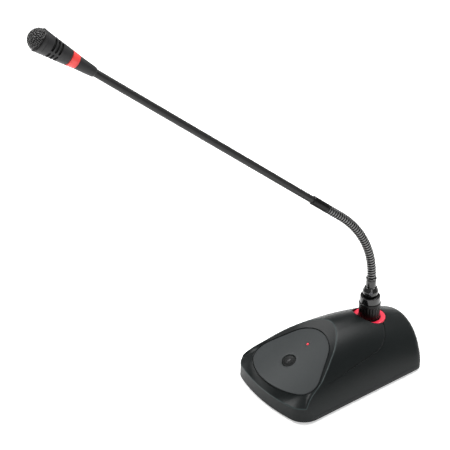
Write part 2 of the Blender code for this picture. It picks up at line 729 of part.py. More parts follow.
def make_electronics(mats):
    frame = empty("board_frame", control_frame())
    board_top = -BOARD_DEPTH
    board_bottom = board_top - BOARD_THICKNESS
    low = (-BOARD_HALF_WIDTH, BOARD_CENTRE - BOARD_LENGTH / 2, board_bottom)
    high = (BOARD_HALF_WIDTH, BOARD_CENTRE + BOARD_LENGTH / 2, board_top)
    board = box("main_board", low, high, mats["board"], frame)
    head_top = board_bottom - CLEARANCE - SCREW_HEAD_HEIGHT
    for i, place in enumerate(board_post_places()):
        hole = round_at(SCREW_RADIUS + CLEARANCE, place)
        boolean(board, prism(f"board_hole_{i + 1}", hole, board_bottom - LAP, board_top + LAP, parent=frame))
        turned = control_frame() @ Matrix.Translation((*place, head_top)) @ Matrix.Rotation(math.pi, 4, "X")
        make_screw(f"board_screw_{i + 1}", turned, BOARD_SCREW_LENGTH, mats["steel"])

    lamp_bottom = board_top + CLEARANCE
    lamp = [
        (0, lamp_bottom),
        (LED_FOOT_RADIUS, lamp_bottom),
        (LED_FOOT_RADIUS, lamp_bottom + 1 * MM),
        (LED_RADIUS, lamp_bottom + 1 * MM),
        (LED_RADIUS, -LED_RADIUS * 0.2),
        (LED_RADIUS * 0.7, LED_RADIUS * 0.2),
        (0, LED_RADIUS * 0.3),
    ]
    led_place = control_frame() @ Matrix.Translation((0, LED_DISTANCE, 0))
    lathe("status_led", lamp, mats["lamp"], empty("led_frame", led_place), SMALL_ROUND)

    half = SWITCH_HALF_WIDTH
    stem_top = -BUTTON_SINK - BUTTON_HEIGHT - BUTTON_TRAVEL - CLEARANCE
    block_top = stem_top - SWITCH_STEM_HEIGHT
    low, high = (-half, -half, board_top + CLEARANCE), (half, half, block_top)
    switch = box("tact_switch", low, high, mats["switch"], frame)
    stem = rod("switch_stem", SWITCH_STEM_RADIUS, block_top - LAP, stem_top, parent=frame)
    boolean(switch, stem, "UNION")


def make_button(mats):
    """A round push button that slides square to the control surface. Its flange is under the housing."""
    joint = empty("button_press", control_frame())
    top = -BUTTON_SINK
    bottom = top - BUTTON_HEIGHT
    flange = BUTTON_RADIUS + BUTTON_FLANGE_REACH
    profile = [
        (0, bottom),
        (flange, bottom),
        (flange, bottom + BUTTON_FLANGE),
        (BUTTON_RADIUS, bottom + BUTTON_FLANGE),
        (BUTTON_RADIUS, top - 0.5 * MM),
        (BUTTON_RADIUS - 0.5 * MM, top),
        (BUTTON_RADIUS * 0.6, top - 0.25 * MM),
        (0, top - 0.35 * MM),
    ]
    lathe("mic_button", profile, mats["button"], joint)


def make_socket(mats):
    """The lit ring, its board, the nut and the socket for the plug. Heights are from the ring's top."""
    frame = empty("socket_frame", Matrix.Translation((0, SOCKET_Y, RING_Z)))
    board_top = -RING_THICKNESS - CLEARANCE
    board_bottom = board_top - RING_BOARD_THICKNESS
    nut_bottom = CLEARANCE - WELL_DEPTH
    flange_top = -WELL_DEPTH - WELL_FLOOR - CLEARANCE
    flange_bottom = flange_top - SOCKET_FLANGE_THICKNESS

    ring = [
        (RING_INNER, -RING_THICKNESS),
        (RING_OUTER, -RING_THICKNESS),
        (RING_OUTER, -0.5 * MM),
        (RING_OUTER - 0.5 * MM, 0),
        (RING_INNER + 0.4 * MM, 0),
        (RING_INNER, -0.4 * MM),
    ]
    lathe("base_light_ring", ring, mats["light"], frame, COLLAR_SIDES)
    bore = SOCKET_OUTER + CLEARANCE
    board = [(bore, board_bottom), (RING_OUTER, board_bottom), (RING_OUTER, board_top), (bore, board_top)]
    lathe("ring_board", board, mats["board"], frame)
    nut_top = nut_bottom + NUT_THICKNESS
    nut = [(bore, nut_bottom), (NUT_RADIUS, nut_bottom), (NUT_RADIUS, nut_top), (bore, nut_top)]
    lathe("socket_nut", nut, mats["steel"], frame)
    shell = [
        (0, -SOCKET_DEPTH),
        (SOCKET_OUTER, -SOCKET_DEPTH),
        (SOCKET_OUTER, flange_bottom),
        (SOCKET_FLANGE, flange_bottom),
        (SOCKET_FLANGE, flange_top),
        (SOCKET_OUTER, flange_top),
        (SOCKET_OUTER, board_top),
        (SOCKET_BORE, board_top),
        (SOCKET_BORE, SOCKET_FLOOR - SOCKET_DEPTH),
        (0, SOCKET_FLOOR - SOCKET_DEPTH),
    ]
    socket = lathe("neck_socket", shell, mats["socket"], frame)
    low, high = SOCKET_FLOOR + CLEARANCE - SOCKET_DEPTH, -INSERT_TOP_DEPTH
    insert = rod("socket_insert", INSERT_RADIUS, low, high, mats["insert"], frame, ROUND)
    for i, place in enumerate(pin_places()):
        hole = round_at(PIN_HOLE_RADIUS, place)
        boolean(insert, prism(f"insert_hole_{i + 1}", hole, low - LAP, high + LAP, parent=frame))
        boolean(socket, prism(f"tail_hole_{i + 1}", hole, -SOCKET_DEPTH - LAP, low, parent=frame))
        contact = round_at(PIN_HOLE_RADIUS - CLEARANCE, place)
        top = -PIN_TIP_DEPTH - CLEARANCE
        prism(f"socket_contact_{i + 1}", contact, -CONTACT_DEPTH, top, mats["contact"], frame)


def pin_places():
    """Pins 1, 2 and 3 on their circle, pin 3 towards the front."""
    return [(PIN_CIRCLE * math.cos(turn), PIN_CIRCLE * math.sin(turn)) for turn in PIN_TURNS]


def make_output(mats):
    """The rear connector: Z of its frame points out of the rear."""
    frame = empty("output_connector_frame", output_matrix())
    half_w, half_h = OUTPUT_FLANGE_WIDTH / 2, OUTPUT_FLANGE_HEIGHT / 2
    face = CLEARANCE + OUTPUT_FLANGE_THICKNESS
    back = face - OUTPUT_DEPTH
    low, high = (-half_w, -half_h, CLEARANCE), (half_w, half_h, face)
    flange = box("output_shell", low, high, mats["socket"], frame)
    barrel_top = face - OUTPUT_FLANGE_THICKNESS / 2
    barrel = rod("output_barrel", OUTPUT_OUTER, back, barrel_top, parent=frame, segments=ROUND)
    boolean(flange, barrel, "UNION")
    boolean(flange, rod("output_bore", OUTPUT_BORE, back - LAP, face + LAP, parent=frame, segments=ROUND))
    insert_top = back + OUTPUT_FLOOR
    insert = rod("output_insert", OUTPUT_BORE - CLEARANCE, back, insert_top, mats["insert"], frame, ROUND)
    for i, (x, y) in enumerate(pin_places()):
        hole = round_at(PIN_RADIUS + CLEARANCE, (x, -y))
        boolean(insert, prism(f"output_pin_hole_{i + 1}", hole, back - LAP, insert_top + LAP, parent=frame))
        pin = round_at(PIN_RADIUS, (x, -y))
        low, high = back - OUTPUT_PIN_TAIL, insert_top + OUTPUT_PIN_LENGTH
        prism(f"output_pin_{i + 1}", pin, low, high, mats["contact"], frame)
    for i, place in enumerate(output_screw_places()):
        hole = round_at(SCREW_RADIUS + CLEARANCE, place)
        boolean(flange, prism(f"output_flange_hole_{i + 1}", hole, -LAP, face + LAP, parent=frame))
        top = face + CLEARANCE + SCREW_HEAD_HEIGHT
        seat = output_matrix() @ Matrix.Translation((*place, top))
        make_screw(f"output_screw_{i + 1}", seat, OUTPUT_SCREW_LENGTH, mats["steel"])


# ---------------------------------------------------------------- plug, collar and neck


def make_plug(mats):
    """The plug: a tube in the socket, a core inside the collar, a neck and a bulb that holds the ferrule."""
    joint = empty("mic_unplug", Matrix.Translation((0, SOCKET_Y, RING_Z)))
    edge = 0.5 * MM
    seat = FERRULE_RADIUS + CLEARANCE
    profile = [
        (PLUG_WIRE_BORE, FERRULE_BOTTOM - CLEARANCE),
        (PLUG_WIRE_BORE, PLUG_INSERT_TOP + CLEARANCE),
        (PLUG_CORE_BORE, PLUG_INSERT_TOP + CLEARANCE),
        (PLUG_CORE_BORE, edge),
        (PLUG_TUBE_BORE, -edge),
        (PLUG_TUBE_BORE, -PLUG_TUBE_DEPTH),
        (PLUG_TUBE_RADIUS, -PLUG_TUBE_DEPTH),
        (PLUG_TUBE_RADIUS, 0),
        (PLUG_CORE_RADIUS, 0),
        (PLUG_CORE_RADIUS, COLLAR_TOP + CLEARANCE),
        (PLUG_NECK_RADIUS, COLLAR_TOP + CLEARANCE),
        (PLUG_NECK_RADIUS, PLUG_NECK_TOP - edge),
        (PLUG_NECK_RADIUS - edge, PLUG_NECK_TOP),
        (PLUG_BULB_RADIUS - edge, PLUG_NECK_TOP + 0.2 * MM),
        (PLUG_BULB_RADIUS, PLUG_NECK_TOP + 1.6 * MM),
        (PLUG_BULB_RADIUS - 0.1 * MM, PLUG_BULB_TOP - 2.6 * MM),
        (PLUG_TOP_RADIUS, PLUG_BULB_TOP),
        (seat, PLUG_BULB_TOP),
        (seat, FERRULE_BOTTOM - CLEARANCE),
    ]
    plug = lathe("plug_body", profile, mats["gloss"], joint)
    drill = empty("set_screw_frame", set_screw_matrix(), joint)
    hole = rod("set_screw_hole", SET_SCREW_RADIUS + CLEARANCE, -SET_SCREW_LENGTH, LAP, parent=drill)
    boolean(plug, hole)

    insert = [
        (0, PLUG_INSERT_BOTTOM),
        (PLUG_INSERT_RADIUS, PLUG_INSERT_BOTTOM),
        (PLUG_INSERT_RADIUS, -2 * edge),
        (PLUG_INSERT_NECK, 0.4 * MM),
        (PLUG_INSERT_NECK, PLUG_INSERT_TOP),
        (0, PLUG_INSERT_TOP),
    ]
    lathe("plug_insert", insert, mats["insert"], joint)
    for i, place in enumerate(pin_places()):
        pin = round_at(PIN_RADIUS, place)
        top = PLUG_INSERT_BOTTOM - CLEARANCE
        prism(f"plug_pin_{i + 1}", pin, -PIN_TIP_DEPTH, top, mats["contact"], joint)

    bottom = CLEARANCE - SET_SCREW_LENGTH
    screw = [
        (0, bottom),
        (SET_SCREW_RADIUS, bottom),
        (SET_SCREW_RADIUS, -edge),
        (SET_SCREW_SOCKET, -edge),
        (SET_SCREW_SOCKET, -2 * SET_SCREW_SOCKET),
        (0, -2 * SET_SCREW_SOCKET),
    ]
    lathe("neck_set_screw", screw, mats["steel"], drill, 12)
    return joint


def set_screw_matrix():
    """On the bulb, facing the right-hand front. Z points out of the bulb."""
    out = Vector((math.cos(SET_SCREW_TURN), math.sin(SET_SCREW_TURN), 0))
    place = Vector((0, SOCKET_Y, RING_Z + SET_SCREW_HEIGHT)) + out * (PLUG_BULB_RADIUS + CLEARANCE)
    return Matrix.Translation(place) @ out.to_track_quat("Z", "Y").to_matrix().to_4x4()


def make_collar(mats, plug):
    joint = empty("collar_turn", Matrix.Translation((0, SOCKET_Y, RING_Z)), plug)
    profile = [
        (COLLAR_BORE, COLLAR_BOTTOM),
        (COLLAR_FOOT_RADIUS - 0.5 * MM, COLLAR_BOTTOM),
        (COLLAR_FOOT_RADIUS, COLLAR_BOTTOM + 0.5 * MM),
        (COLLAR_TOP_RADIUS, COLLAR_TOP - COLLAR_LIP),
        (COLLAR_TOP_RADIUS, COLLAR_TOP - 0.4 * MM),
        (COLLAR_TOP_RADIUS - 0.4 * MM, COLLAR_TOP),
        (COLLAR_BORE, COLLAR_TOP),
    ]
    collar = lathe("lock_collar", profile, mats["collar"], joint, COLLAR_SIDES)
    reach = COLLAR_TOP_RADIUS + COLLAR_FLUTE_RADIUS / 2
    flutes = []
    for i, place in enumerate(ring_of(reach, COLLAR_FLUTES)):
        outline = round_at(COLLAR_FLUTE_RADIUS, place, 8)
        flutes.append(prism(f"flute_{i + 1}", outline, -LAP, COLLAR_TOP - 2 * COLLAR_LIP, parent=joint))
    return boolean(collar, joined("flutes", flutes))


def joined(name, objects):
    """One cutter from several that don't touch."""
    bm = bmesh.new()
    for obj in objects:
        bm.from_mesh(obj.data)
    mesh = bpy.data.meshes.new(name)
    bm.to_mesh(mesh)
    bm.free()
    whole = bpy.data.objects.new(name, mesh)
    bpy.context.scene.collection.objects.link(whole)
    whole.parent = objects[0].parent
    for obj in objects:
        bpy.data.objects.remove(obj, do_unlink=True)
    return whole


def neck_start():
    return Vector((0, SOCKET_Y, RING_Z + FERRULE_TOP + FERRULE_RING_HEIGHT))


def neck_length():
    return NECK_ARC_RADIUS * NECK_BEND + NECK_STRAIGHT


def neck_at(distance):
    """The neck's middle line: its point and its direction at this distance from its foot."""
    forward = Vector((-math.sin(NECK_TURN), -math.cos(NECK_TURN), 0))
    up = Vector((0, 0, 1))
    bent = max(0.0, min(distance / NECK_ARC_RADIUS, NECK_BEND))
    direction = forward * math.sin(bent) + up * math.cos(bent)
    arc = forward * (1 - math.cos(bent)) + up * math.sin(bent)
    straight = distance - bent * NECK_ARC_RADIUS
    return neck_start() + arc * NECK_ARC_RADIUS + direction * straight, direction


def along_matrix(point, direction):
    """Z along the direction, X on the neck's bending axis."""
    bend_axis = Vector((math.cos(NECK_TURN), -math.sin(NECK_TURN), 0))
    across = direction.cross(bend_axis)
    turn = Matrix((bend_axis, across, direction)).transposed()
    return Matrix.Translation(point) @ turn.to_4x4()


def joint_distance(index):
    return neck_length() * (index + 0.5) / NECK_JOINTS


def ball_points(foot):
    """A ball that turns in the cup of the segment before."""
    turns = [0.5 * math.pi * i / 4 for i in range(5)]
    return [(NECK_RADIUS * math.sin(turn), foot - NECK_RADIUS * math.cos(turn)) for turn in turns]


def cup_points(top):
    reach = NECK_RADIUS + NECK_CUP_GAP
    rim = math.acos(NECK_RADIUS / reach)
    turns = [rim + (0.5 * math.pi - rim) * i / 4 for i in range(4)]
    return [(reach * math.cos(turn), top - reach * math.sin(turn)) for turn in turns] + [(0, top - reach)]


def make_neck(mats, plug):
    """The ferrule, the root, one segment for each joint, and the tip that carries the arm."""
    ferrule_frame = empty("ferrule_frame", Matrix.Translation((0, SOCKET_Y, RING_Z)), plug)
    bore = NECK_TENON_RADIUS + CLEARANCE
    top = FERRULE_TOP + FERRULE_RING_HEIGHT - CLEARANCE
    floor = top - NECK_TENON_LENGTH
    ring = FERRULE_TOP - 0.4 * MM
    profile = [
        (0, FERRULE_BOTTOM),
        (FERRULE_RADIUS, FERRULE_BOTTOM),
        (FERRULE_RADIUS, ring),
        (FERRULE_RING_RADIUS, ring + 0.3 * MM),
        (FERRULE_RING_RADIUS, top - 0.4 * MM),
        (FERRULE_RING_RADIUS - 0.4 * MM, top),
        (bore, top),
        (bore, floor),
        (0, floor),
    ]
    ferrule = lathe("neck_ferrule", profile, mats["collar"], ferrule_frame)
    drill = empty("ferrule_drill", set_screw_matrix(), plug)
    dimple = rod("ferrule_dimple", SET_SCREW_RADIUS + CLEARANCE, -SET_SCREW_LENGTH, LAP, parent=drill)
    boolean(ferrule, dimple)

    root_frame = empty("flex_root_frame", along_matrix(*neck_at(0)), plug)
    tenon_end = CLEARANCE - NECK_TENON_LENGTH
    tenon = [(0, tenon_end), (NECK_TENON_RADIUS, tenon_end), (NECK_TENON_RADIUS, 0), (NECK_RADIUS, 0)]
    lathe("flex_root", tenon + cup_points(joint_distance(0)), mats["flex"], root_frame, NECK_SIDES)

    parent = plug
    for index in range(NECK_JOINTS):
        point, _ = neck_at(joint_distance(index))
        last = index == NECK_JOINTS - 1
        after, _ = neck_at(neck_length() if last else joint_distance(index + 1))
        chord = after - point
        length = chord.length
        kind = "bend" if index % 2 == 0 else "sway"
        joint = empty(f"neck_{kind}_{index // 2 + 1}", along_matrix(point, chord.normalized()), parent)
        if last:
            end = length + NECK_TENON_LENGTH - CLEARANCE
            tenon = [(NECK_RADIUS, length), (NECK_TENON_RADIUS, length), (NECK_TENON_RADIUS, end), (0, end)]
            lathe("flex_tip", ball_points(0) + tenon, mats["flex"], joint, NECK_SIDES)
        else:
            profile = ball_points(0) + cup_points(length)
            lathe(f"flex_segment_{index + 1}", profile, mats["flex"], joint, NECK_SIDES)
        parent = joint
    return parent


# ---------------------------------------------------------------- arm and head


def make_arm(mats, carrier):
    point, direction = neck_at(neck_length())
    frame = empty("arm_frame", along_matrix(point, direction), carrier)
    bore = NECK_TENON_RADIUS + CLEARANCE
    tube_seat = TUBE_FERRULE_LENGTH - TUBE_SOCKET_DEPTH
    ferrule = [
        (TUBE_BORE, NECK_TENON_LENGTH + CLEARANCE),
        (bore, NECK_TENON_LENGTH + CLEARANCE),
        (bore, CLEARANCE),
        (TUBE_FERRULE_RADIUS - 0.3 * MM, CLEARANCE),
        (TUBE_FERRULE_RADIUS, CLEARANCE + 0.5 * MM),
        (TUBE_FERRULE_RADIUS, TUBE_FERRULE_LENGTH - 0.6 * MM),
        (TUBE_FERRULE_RADIUS - 0.4 * MM, TUBE_FERRULE_LENGTH),
        (TUBE_RADIUS + CLEARANCE, TUBE_FERRULE_LENGTH),
        (TUBE_RADIUS + CLEARANCE, tube_seat),
        (TUBE_BORE, tube_seat),
    ]
    lathe("tube_ferrule", ferrule, mats["collar"], frame)
    start = tube_seat + CLEARANCE
    end = TUBE_FERRULE_LENGTH + TUBE_LENGTH + TUBE_SOCKET_DEPTH - CLEARANCE
    tube = [(TUBE_BORE, start), (TUBE_RADIUS, start), (TUBE_RADIUS, end), (TUBE_BORE, end)]
    lathe("arm_tube", tube, mats["tube"], frame, NECK_SIDES)
    head_point = point + direction * (TUBE_FERRULE_LENGTH + TUBE_LENGTH)
    return empty("head_frame", along_matrix(head_point, direction), frame)


def head_radius(distance):
    """Outer radius of the capsule housing, which widens evenly to its rim."""
    start = CONE_LENGTH + HEAD_RING_LENGTH
    share = (distance - start) / (HOUSING_RIM - start)
    return HEAD_RING_END_RADIUS + (HOUSING_RIM_RADIUS - HEAD_RING_END_RADIUS) * share


def make_head(mats, frame):
    ring_start = CONE_LENGTH
    ring_end = ring_start + HEAD_RING_LENGTH - CLEARANCE
    spigot = CONE_SPIGOT_RADIUS
    cone = [
        (WIRE_BORE, TUBE_SOCKET_DEPTH),
        (TUBE_RADIUS + CLEARANCE, TUBE_SOCKET_DEPTH),
        (TUBE_RADIUS + CLEARANCE, 0),
        (CONE_FOOT_RADIUS - 0.3 * MM, 0),
        (CONE_FOOT_RADIUS, 0.5 * MM),
        (HEAD_RING_START_RADIUS - 0.2 * MM, ring_start - CLEARANCE),
        (spigot, ring_start - CLEARANCE),
        (spigot, ring_end - LAP),
        (WIRE_BORE, ring_end - LAP),
    ]
    lathe("head_cone", cone, mats["head"], frame)
    bore = spigot + CLEARANCE
    ring = [
        (bore, ring_start),
        (HEAD_RING_START_RADIUS, ring_start),
        (HEAD_RING_END_RADIUS, ring_end),
        (bore, ring_end),
    ]
    lathe("head_light_ring", ring, mats["light"], frame)
    make_capsule_housing(mats, frame)

    holder_end = CAPSULE_FRONT - CAPSULE_LENGTH - CLEARANCE
    holder_start = holder_end - HOLDER_LENGTH
    radius = head_radius(holder_start) - HOUSING_WALL - CLEARANCE
    holder = [
        (HOLDER_BORE, holder_start),
        (radius, holder_start),
        (radius, holder_end),
        (HOLDER_BORE, holder_end),
    ]
    lathe("capsule_holder", holder, mats["rubber"], frame)
    rod("capsule", CAPSULE_RADIUS, holder_end + CLEARANCE, CAPSULE_FRONT, mats["steel"], frame, NECK_SIDES)

    base = HOUSING_RIM + CLEARANCE
    thin = GRILLE_RADIUS - GRILLE_WALL
    turns = [0.5 * math.pi * i / GRILLE_STEPS for i in range(GRILLE_STEPS)]
    outer = [(GRILLE_RADIUS * math.cos(turn), base + GRILLE_RADIUS * math.sin(turn)) for turn in turns]
    inner = [(thin * math.cos(turn), base + thin * math.sin(turn)) for turn in reversed(turns)]
    tips = [(0, base + GRILLE_RADIUS), (0, base + thin)]
    profile = [tips[0]] + outer[::-1] + inner[::-1] + [tips[1]]
    lathe("mesh_grille", profile, mats["grille"], frame)


def make_capsule_housing(mats, frame):
    start = HOUSING_START
    floor = start + HOUSING_FLOOR
    lip = 0.4 * MM
    mouth = GRILLE_RADIUS - GRILLE_WALL + lip
    profile = [
        (WIRE_BORE, start),
        (head_radius(start), start),
        (HOUSING_RIM_RADIUS, HOUSING_RIM),
        (mouth, HOUSING_RIM),
        (head_radius(HOUSING_RIM - 2 * HOUSING_WALL) - HOUSING_WALL, HOUSING_RIM - lip),
        (head_radius(floor) - HOUSING_WALL, floor),
        (WIRE_BORE, floor),
    ]
    shell = lathe("capsule_housing", profile, mats["head"], frame)
    blocks = []
    for row in range(SLOT_ROWS):
        for group in range(SLOT_GROUPS):
            turn = 2 * math.pi * (group + 0.5) / SLOT_GROUPS
            middle = SLOT_FIRST + SLOT_PITCH * row
            blocks.append(slot_cutter(f"slot_{row + 1}_{group + 1}", middle, turn, frame))
    boolean(shell, joined("slots", blocks))


def slot_cutter(name, middle, turn, parent):
    """A block that cuts one slot: part of a ring, square across the arm."""
    steps = 6
    turns = [turn + SLOT_SPAN * (i / steps - 0.5) for i in range(steps + 1)]
    outline = [(SLOT_OUTER * math.cos(t), SLOT_OUTER * math.sin(t)) for t in turns]
    outline += [(SLOT_INNER * math.cos(t), SLOT_INNER * math.sin(t)) for t in reversed(turns)]
    return prism(name, outline, middle - SLOT_WIDTH / 2, middle + SLOT_WIDTH / 2, parent=parent)


# ---------------------------------------------------------------- assembly


def materials():
    return {
        "body": material("charcoal plastic", (0.035, 0.036, 0.038), 0.55),
        "cover": material("black base plastic", (0.02, 0.02, 0.021), 0.6),
        "plate": material("grey control plate", (0.075, 0.076, 0.08), 0.42),
        "button": material("button black", (0.02, 0.02, 0.022), 0.4),
        "rubber": material("black rubber", (0.015, 0.015, 0.015), 0.85),
        "zinc": material("plated steel weight", (0.45, 0.45, 0.47), 0.4, 1.0),
        "steel": material("dark screw steel", (0.12, 0.12, 0.13), 0.35, 1.0),
        "board": material("green circuit board", (0.02, 0.13, 0.06), 0.45),
        "switch": material("switch body", (0.03, 0.03, 0.03), 0.5),
        "lamp": material("red lamp", (0.8, 0.04, 0.05), 0.3, 0.0, (0.9, 0.05, 0.06)),
        "light": material("red light ring", (0.9, 0.06, 0.09), 0.4, 0.0, (0.85, 0.05, 0.08)),
        "socket": material("black metal shell", (0.03, 0.03, 0.032), 0.35, 0.6),
        "insert": material("black insert", (0.02, 0.02, 0.02), 0.5),
        "contact": material("gold contact", (0.75, 0.55, 0.22), 0.3, 1.0),
        "gloss": material("gloss black metal", (0.02, 0.02, 0.022), 0.18, 0.5),
        "collar": material("satin black metal", (0.03, 0.03, 0.032), 0.4, 0.5),
        "flex": material("black flexible neck", (0.03, 0.03, 0.03), 0.45, 0.4),
        "tube": material("satin dark tube", (0.04, 0.04, 0.042), 0.4, 0.5),
        "head": material("satin dark head", (0.035, 0.036, 0.038), 0.45),
        "grille": material("black wire mesh", (0.02, 0.02, 0.02), 0.45, 0.6),
    }


def main():
    clear_scene()
    mats = materials()
    make_top_housing(mats)
    make_bottom(mats)
    make_control_plate(mats)
    make_electronics(mats)
    make_button(mats)
    make_socket(mats)
    make_output(mats)
    plug = make_plug(mats)
    make_collar(mats, plug)
    carrier = make_neck(mats, plug)
    head = make_arm(mats, carrier)
    make_head(mats, head)


main()
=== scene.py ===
"""Gooseneck podium microphone: the finished look of each piece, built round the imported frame.

Laid out as an add-on. Each operator makes one piece or a group of like pieces, and main() calls them in order.
"""

import json
import math

import bmesh
import bpy
import numpy as np
from bpy.props import FloatProperty, FloatVectorProperty, IntProperty, PointerProperty
from mathutils import Matrix, Vector
from mathutils.kdtree import KDTree


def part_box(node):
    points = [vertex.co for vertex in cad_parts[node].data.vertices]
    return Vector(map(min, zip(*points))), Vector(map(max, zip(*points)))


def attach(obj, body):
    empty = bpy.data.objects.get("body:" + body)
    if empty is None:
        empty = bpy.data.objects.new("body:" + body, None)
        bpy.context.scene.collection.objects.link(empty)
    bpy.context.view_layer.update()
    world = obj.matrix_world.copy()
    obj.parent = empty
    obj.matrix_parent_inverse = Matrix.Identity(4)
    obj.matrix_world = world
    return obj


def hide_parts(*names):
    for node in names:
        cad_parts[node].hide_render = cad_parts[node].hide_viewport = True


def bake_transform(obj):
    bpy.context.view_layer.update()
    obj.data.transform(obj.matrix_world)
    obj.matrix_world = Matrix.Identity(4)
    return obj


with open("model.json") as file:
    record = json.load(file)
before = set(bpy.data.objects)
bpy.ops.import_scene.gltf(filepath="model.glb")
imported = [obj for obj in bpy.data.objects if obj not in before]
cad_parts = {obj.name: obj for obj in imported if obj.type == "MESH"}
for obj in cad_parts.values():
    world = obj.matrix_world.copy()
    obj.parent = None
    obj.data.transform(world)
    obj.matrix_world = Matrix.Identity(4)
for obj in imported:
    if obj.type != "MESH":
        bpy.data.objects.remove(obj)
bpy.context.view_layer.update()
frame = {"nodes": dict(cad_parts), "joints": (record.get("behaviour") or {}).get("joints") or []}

bl_info = {
    "name": "Gooseneck microphone",
    "version": (1, 0, 0),
    "blender": (4, 5, 0),
    "location": "3D View > Sidebar > Microphone",
    "description": "Builds the visible pieces of a gooseneck desk microphone round its frame",
    "category": "Object",
}

MM = 0.001
CHAIN = ["plug", "flex_1", "flex_2", "flex_3", "flex_4", "flex_5", "flex_6", "arm"]


# ---------------------------------------------------------------- settings


def length(name, millimetres, description):
    return FloatProperty(name=name, description=description, default=millimetres * MM, unit="LENGTH")


def angle(name, degrees, description):
    return FloatProperty(name=name, description=description, default=math.radians(degrees), subtype="ANGLE")


def number(name, value, description):
    return FloatProperty(name=name, description=description, default=value)


def count(name, value, description):
    return IntProperty(name=name, description=description, default=value, min=1)


def colour(name, value, description):
    return FloatVectorProperty(
        name=name, description=description, default=value, size=3, min=0.0, max=1.0, subtype="COLOR"
    )


class HousingSettings(bpy.types.PropertyGroup):
    front_half_width: length("Front half width", 50.3, "Half the width at the front corners")
    rear_half_width: length("Rear half width", 42.3, "Half the width at the rear corners")
    front_y: length("Front corner Y", -63.2, "Where the front corners lie")
    front_bow: length("Front bow", 8.4, "How far the front edge bows out")
    front_corner: length("Front corner radius", 13.5, "Rounding of the front corners in plan")
    rear_y: length("Rear corner Y", 75.4, "Where the rear corners lie")
    rear_bow: length("Rear bow", 10, "How far the rear edge bows out")
    rear_corner: length("Rear corner radius", 3.4, "Rounding of the rear corners in plan")
    rear_edge: length("Rear edge radius", 4, "Rounding between the top and the rear")
    crest_height: length("Crest height", 56.65, "Height of the top line at the front")
    crest_y: length("Crest Y", -8.1, "Where the top line starts to fall")
    crest_radius: length("Crest radius", 231.8, "Radius of the top line")
    arch_power: number("Arch power", 1.81, "How full the cross-section is")
    arch_root: number("Arch root", 1.86, "How upright the sides are")
    skirt: length("Skirt height", 6, "Height of the upright skirt")
    lip_height: length("Lip height", 14.5, "Height of the front lip at its middle")
    lip_corner_height: length("Lip corner height", 16, "Height of the front lip at its corners")
    rim_rounding: length("Rim rounding", 0.8, "Rounding of the rim round the control recess")
    wall: length("Wall", 2.2, "Wall thickness")
    groove_radius: length("Groove radius", 0.8, "Radius of the styling groove")


class ControlSettings(bpy.types.PropertyGroup):
    slope: angle("Slope", 24.07, "Slope of the control surface")
    crown: length("Crown radius", 122, "Crown across the control surface")
    button_y: length("Button Y", -43.1, "Where the button is")
    button_height: length("Button height", 33.1, "Height of the control surface at the button")
    lamp_distance: length("Lamp distance", 22.5, "Distance from the button up to the lamp")
    front_reach: length("Front reach", 27.4, "From the button to the plate's front edge")
    rear_reach: length("Rear reach", 39, "From the button to the plate's rear edge")
    front_radius: length("Front radius", 52, "Radius of the plate's front edge")
    rear_radius: length("Rear radius", 28.3, "Radius of the plate's rear edge")
    corner_radius: length("Corner radius", 17.1, "Radius of the plate's corners")
    lean: angle("Side lean", 32.09, "Lean of the plate's straight sides")
    gap: length("Plate gap", 0.6, "Gap round the plate")
    plate_edge: length("Plate edge", 0.55, "Rounding of the plate's edge")
    seat: length("Seat depth", 1.7, "Depth of the seat under the plate")
    button_radius: length("Button radius", 6.1, "Radius of the button")
    band_slope: angle("Band slope", 33, "Slope of the band round the plate")


class PlugSettings(bpy.types.PropertyGroup):
    flutes: count("Flutes", 20, "Flutes round the lock collar")
    flute_depth: length("Flute depth", 0.5, "Depth of the collar's flutes")
    collar_radius: length("Collar radius", 9.9, "Radius of the lock collar at its top")
    neck_radius: length("Neck radius", 9.5, "Radius of the plain band above the collar")
    bulb_radius: length("Bulb radius", 7.25, "Largest radius of the bulb")


class NeckSettings(bpy.types.PropertyGroup):
    radius: length("Radius", 4.0, "Outer radius of the flexible neck")
    pitch: length("Winding pitch", 2.6, "Distance between turns of the winding")
    groove: length("Winding depth", 0.95, "Depth between turns of the winding")
    bend: angle("Bend", 52.28, "How far the neck bends")
    arc_radius: length("Arc radius", 84.4, "Radius of the neck's bend")
    straight: length("Straight", 14.5, "Straight run above the bend")


class HeadSettings(bpy.types.PropertyGroup):
    tube_radius: length("Tube radius", 3.18, "Radius of the arm tube")
    cone_foot: length("Cone foot radius", 4.05, "Radius of the head at its foot")
    ring_start: length("Light ring radius, start", 5.7, "Radius of the head at the light ring's start")
    ring_end: length("Light ring radius, end", 6.5, "Radius of the head at the light ring's end")
    rim_radius: length("Rim radius", 9.45, "Radius of the head at its rim")
    dome_radius: length("Grille radius", 9.25, "Radius of the domed grille")
    wire: length("Grille wire", 0.46, "Thickness of the grille's wire")
    slots: count("Slot groups", 4, "Slots round the head in each row")
    slot_turn: angle("Slot turn", -13, "How far the slots are turned round the head")


class FinishSettings(bpy.types.PropertyGroup):
    housing: colour("Housing", (0.0065, 0.0085, 0.0086), "Charcoal plastic of the housing")
    plate: colour("Control plate", (0.040, 0.044, 0.045), "Grey plastic of the control plate")
    button: colour("Button", (0.005, 0.006, 0.006), "Black plastic of the button")
    light: colour("Light rings", (0.80, 0.022, 0.060), "Red plastic of the light rings")
    black_metal: colour("Black metal", (0.010, 0.010, 0.010), "Lacquer of the plug and the neck")
    tube: colour("Arm tube", (0.020, 0.020, 0.020), "Satin lacquer of the arm tube")
    head: colour("Head", (0.022, 0.022, 0.023), "Satin plastic of the head")


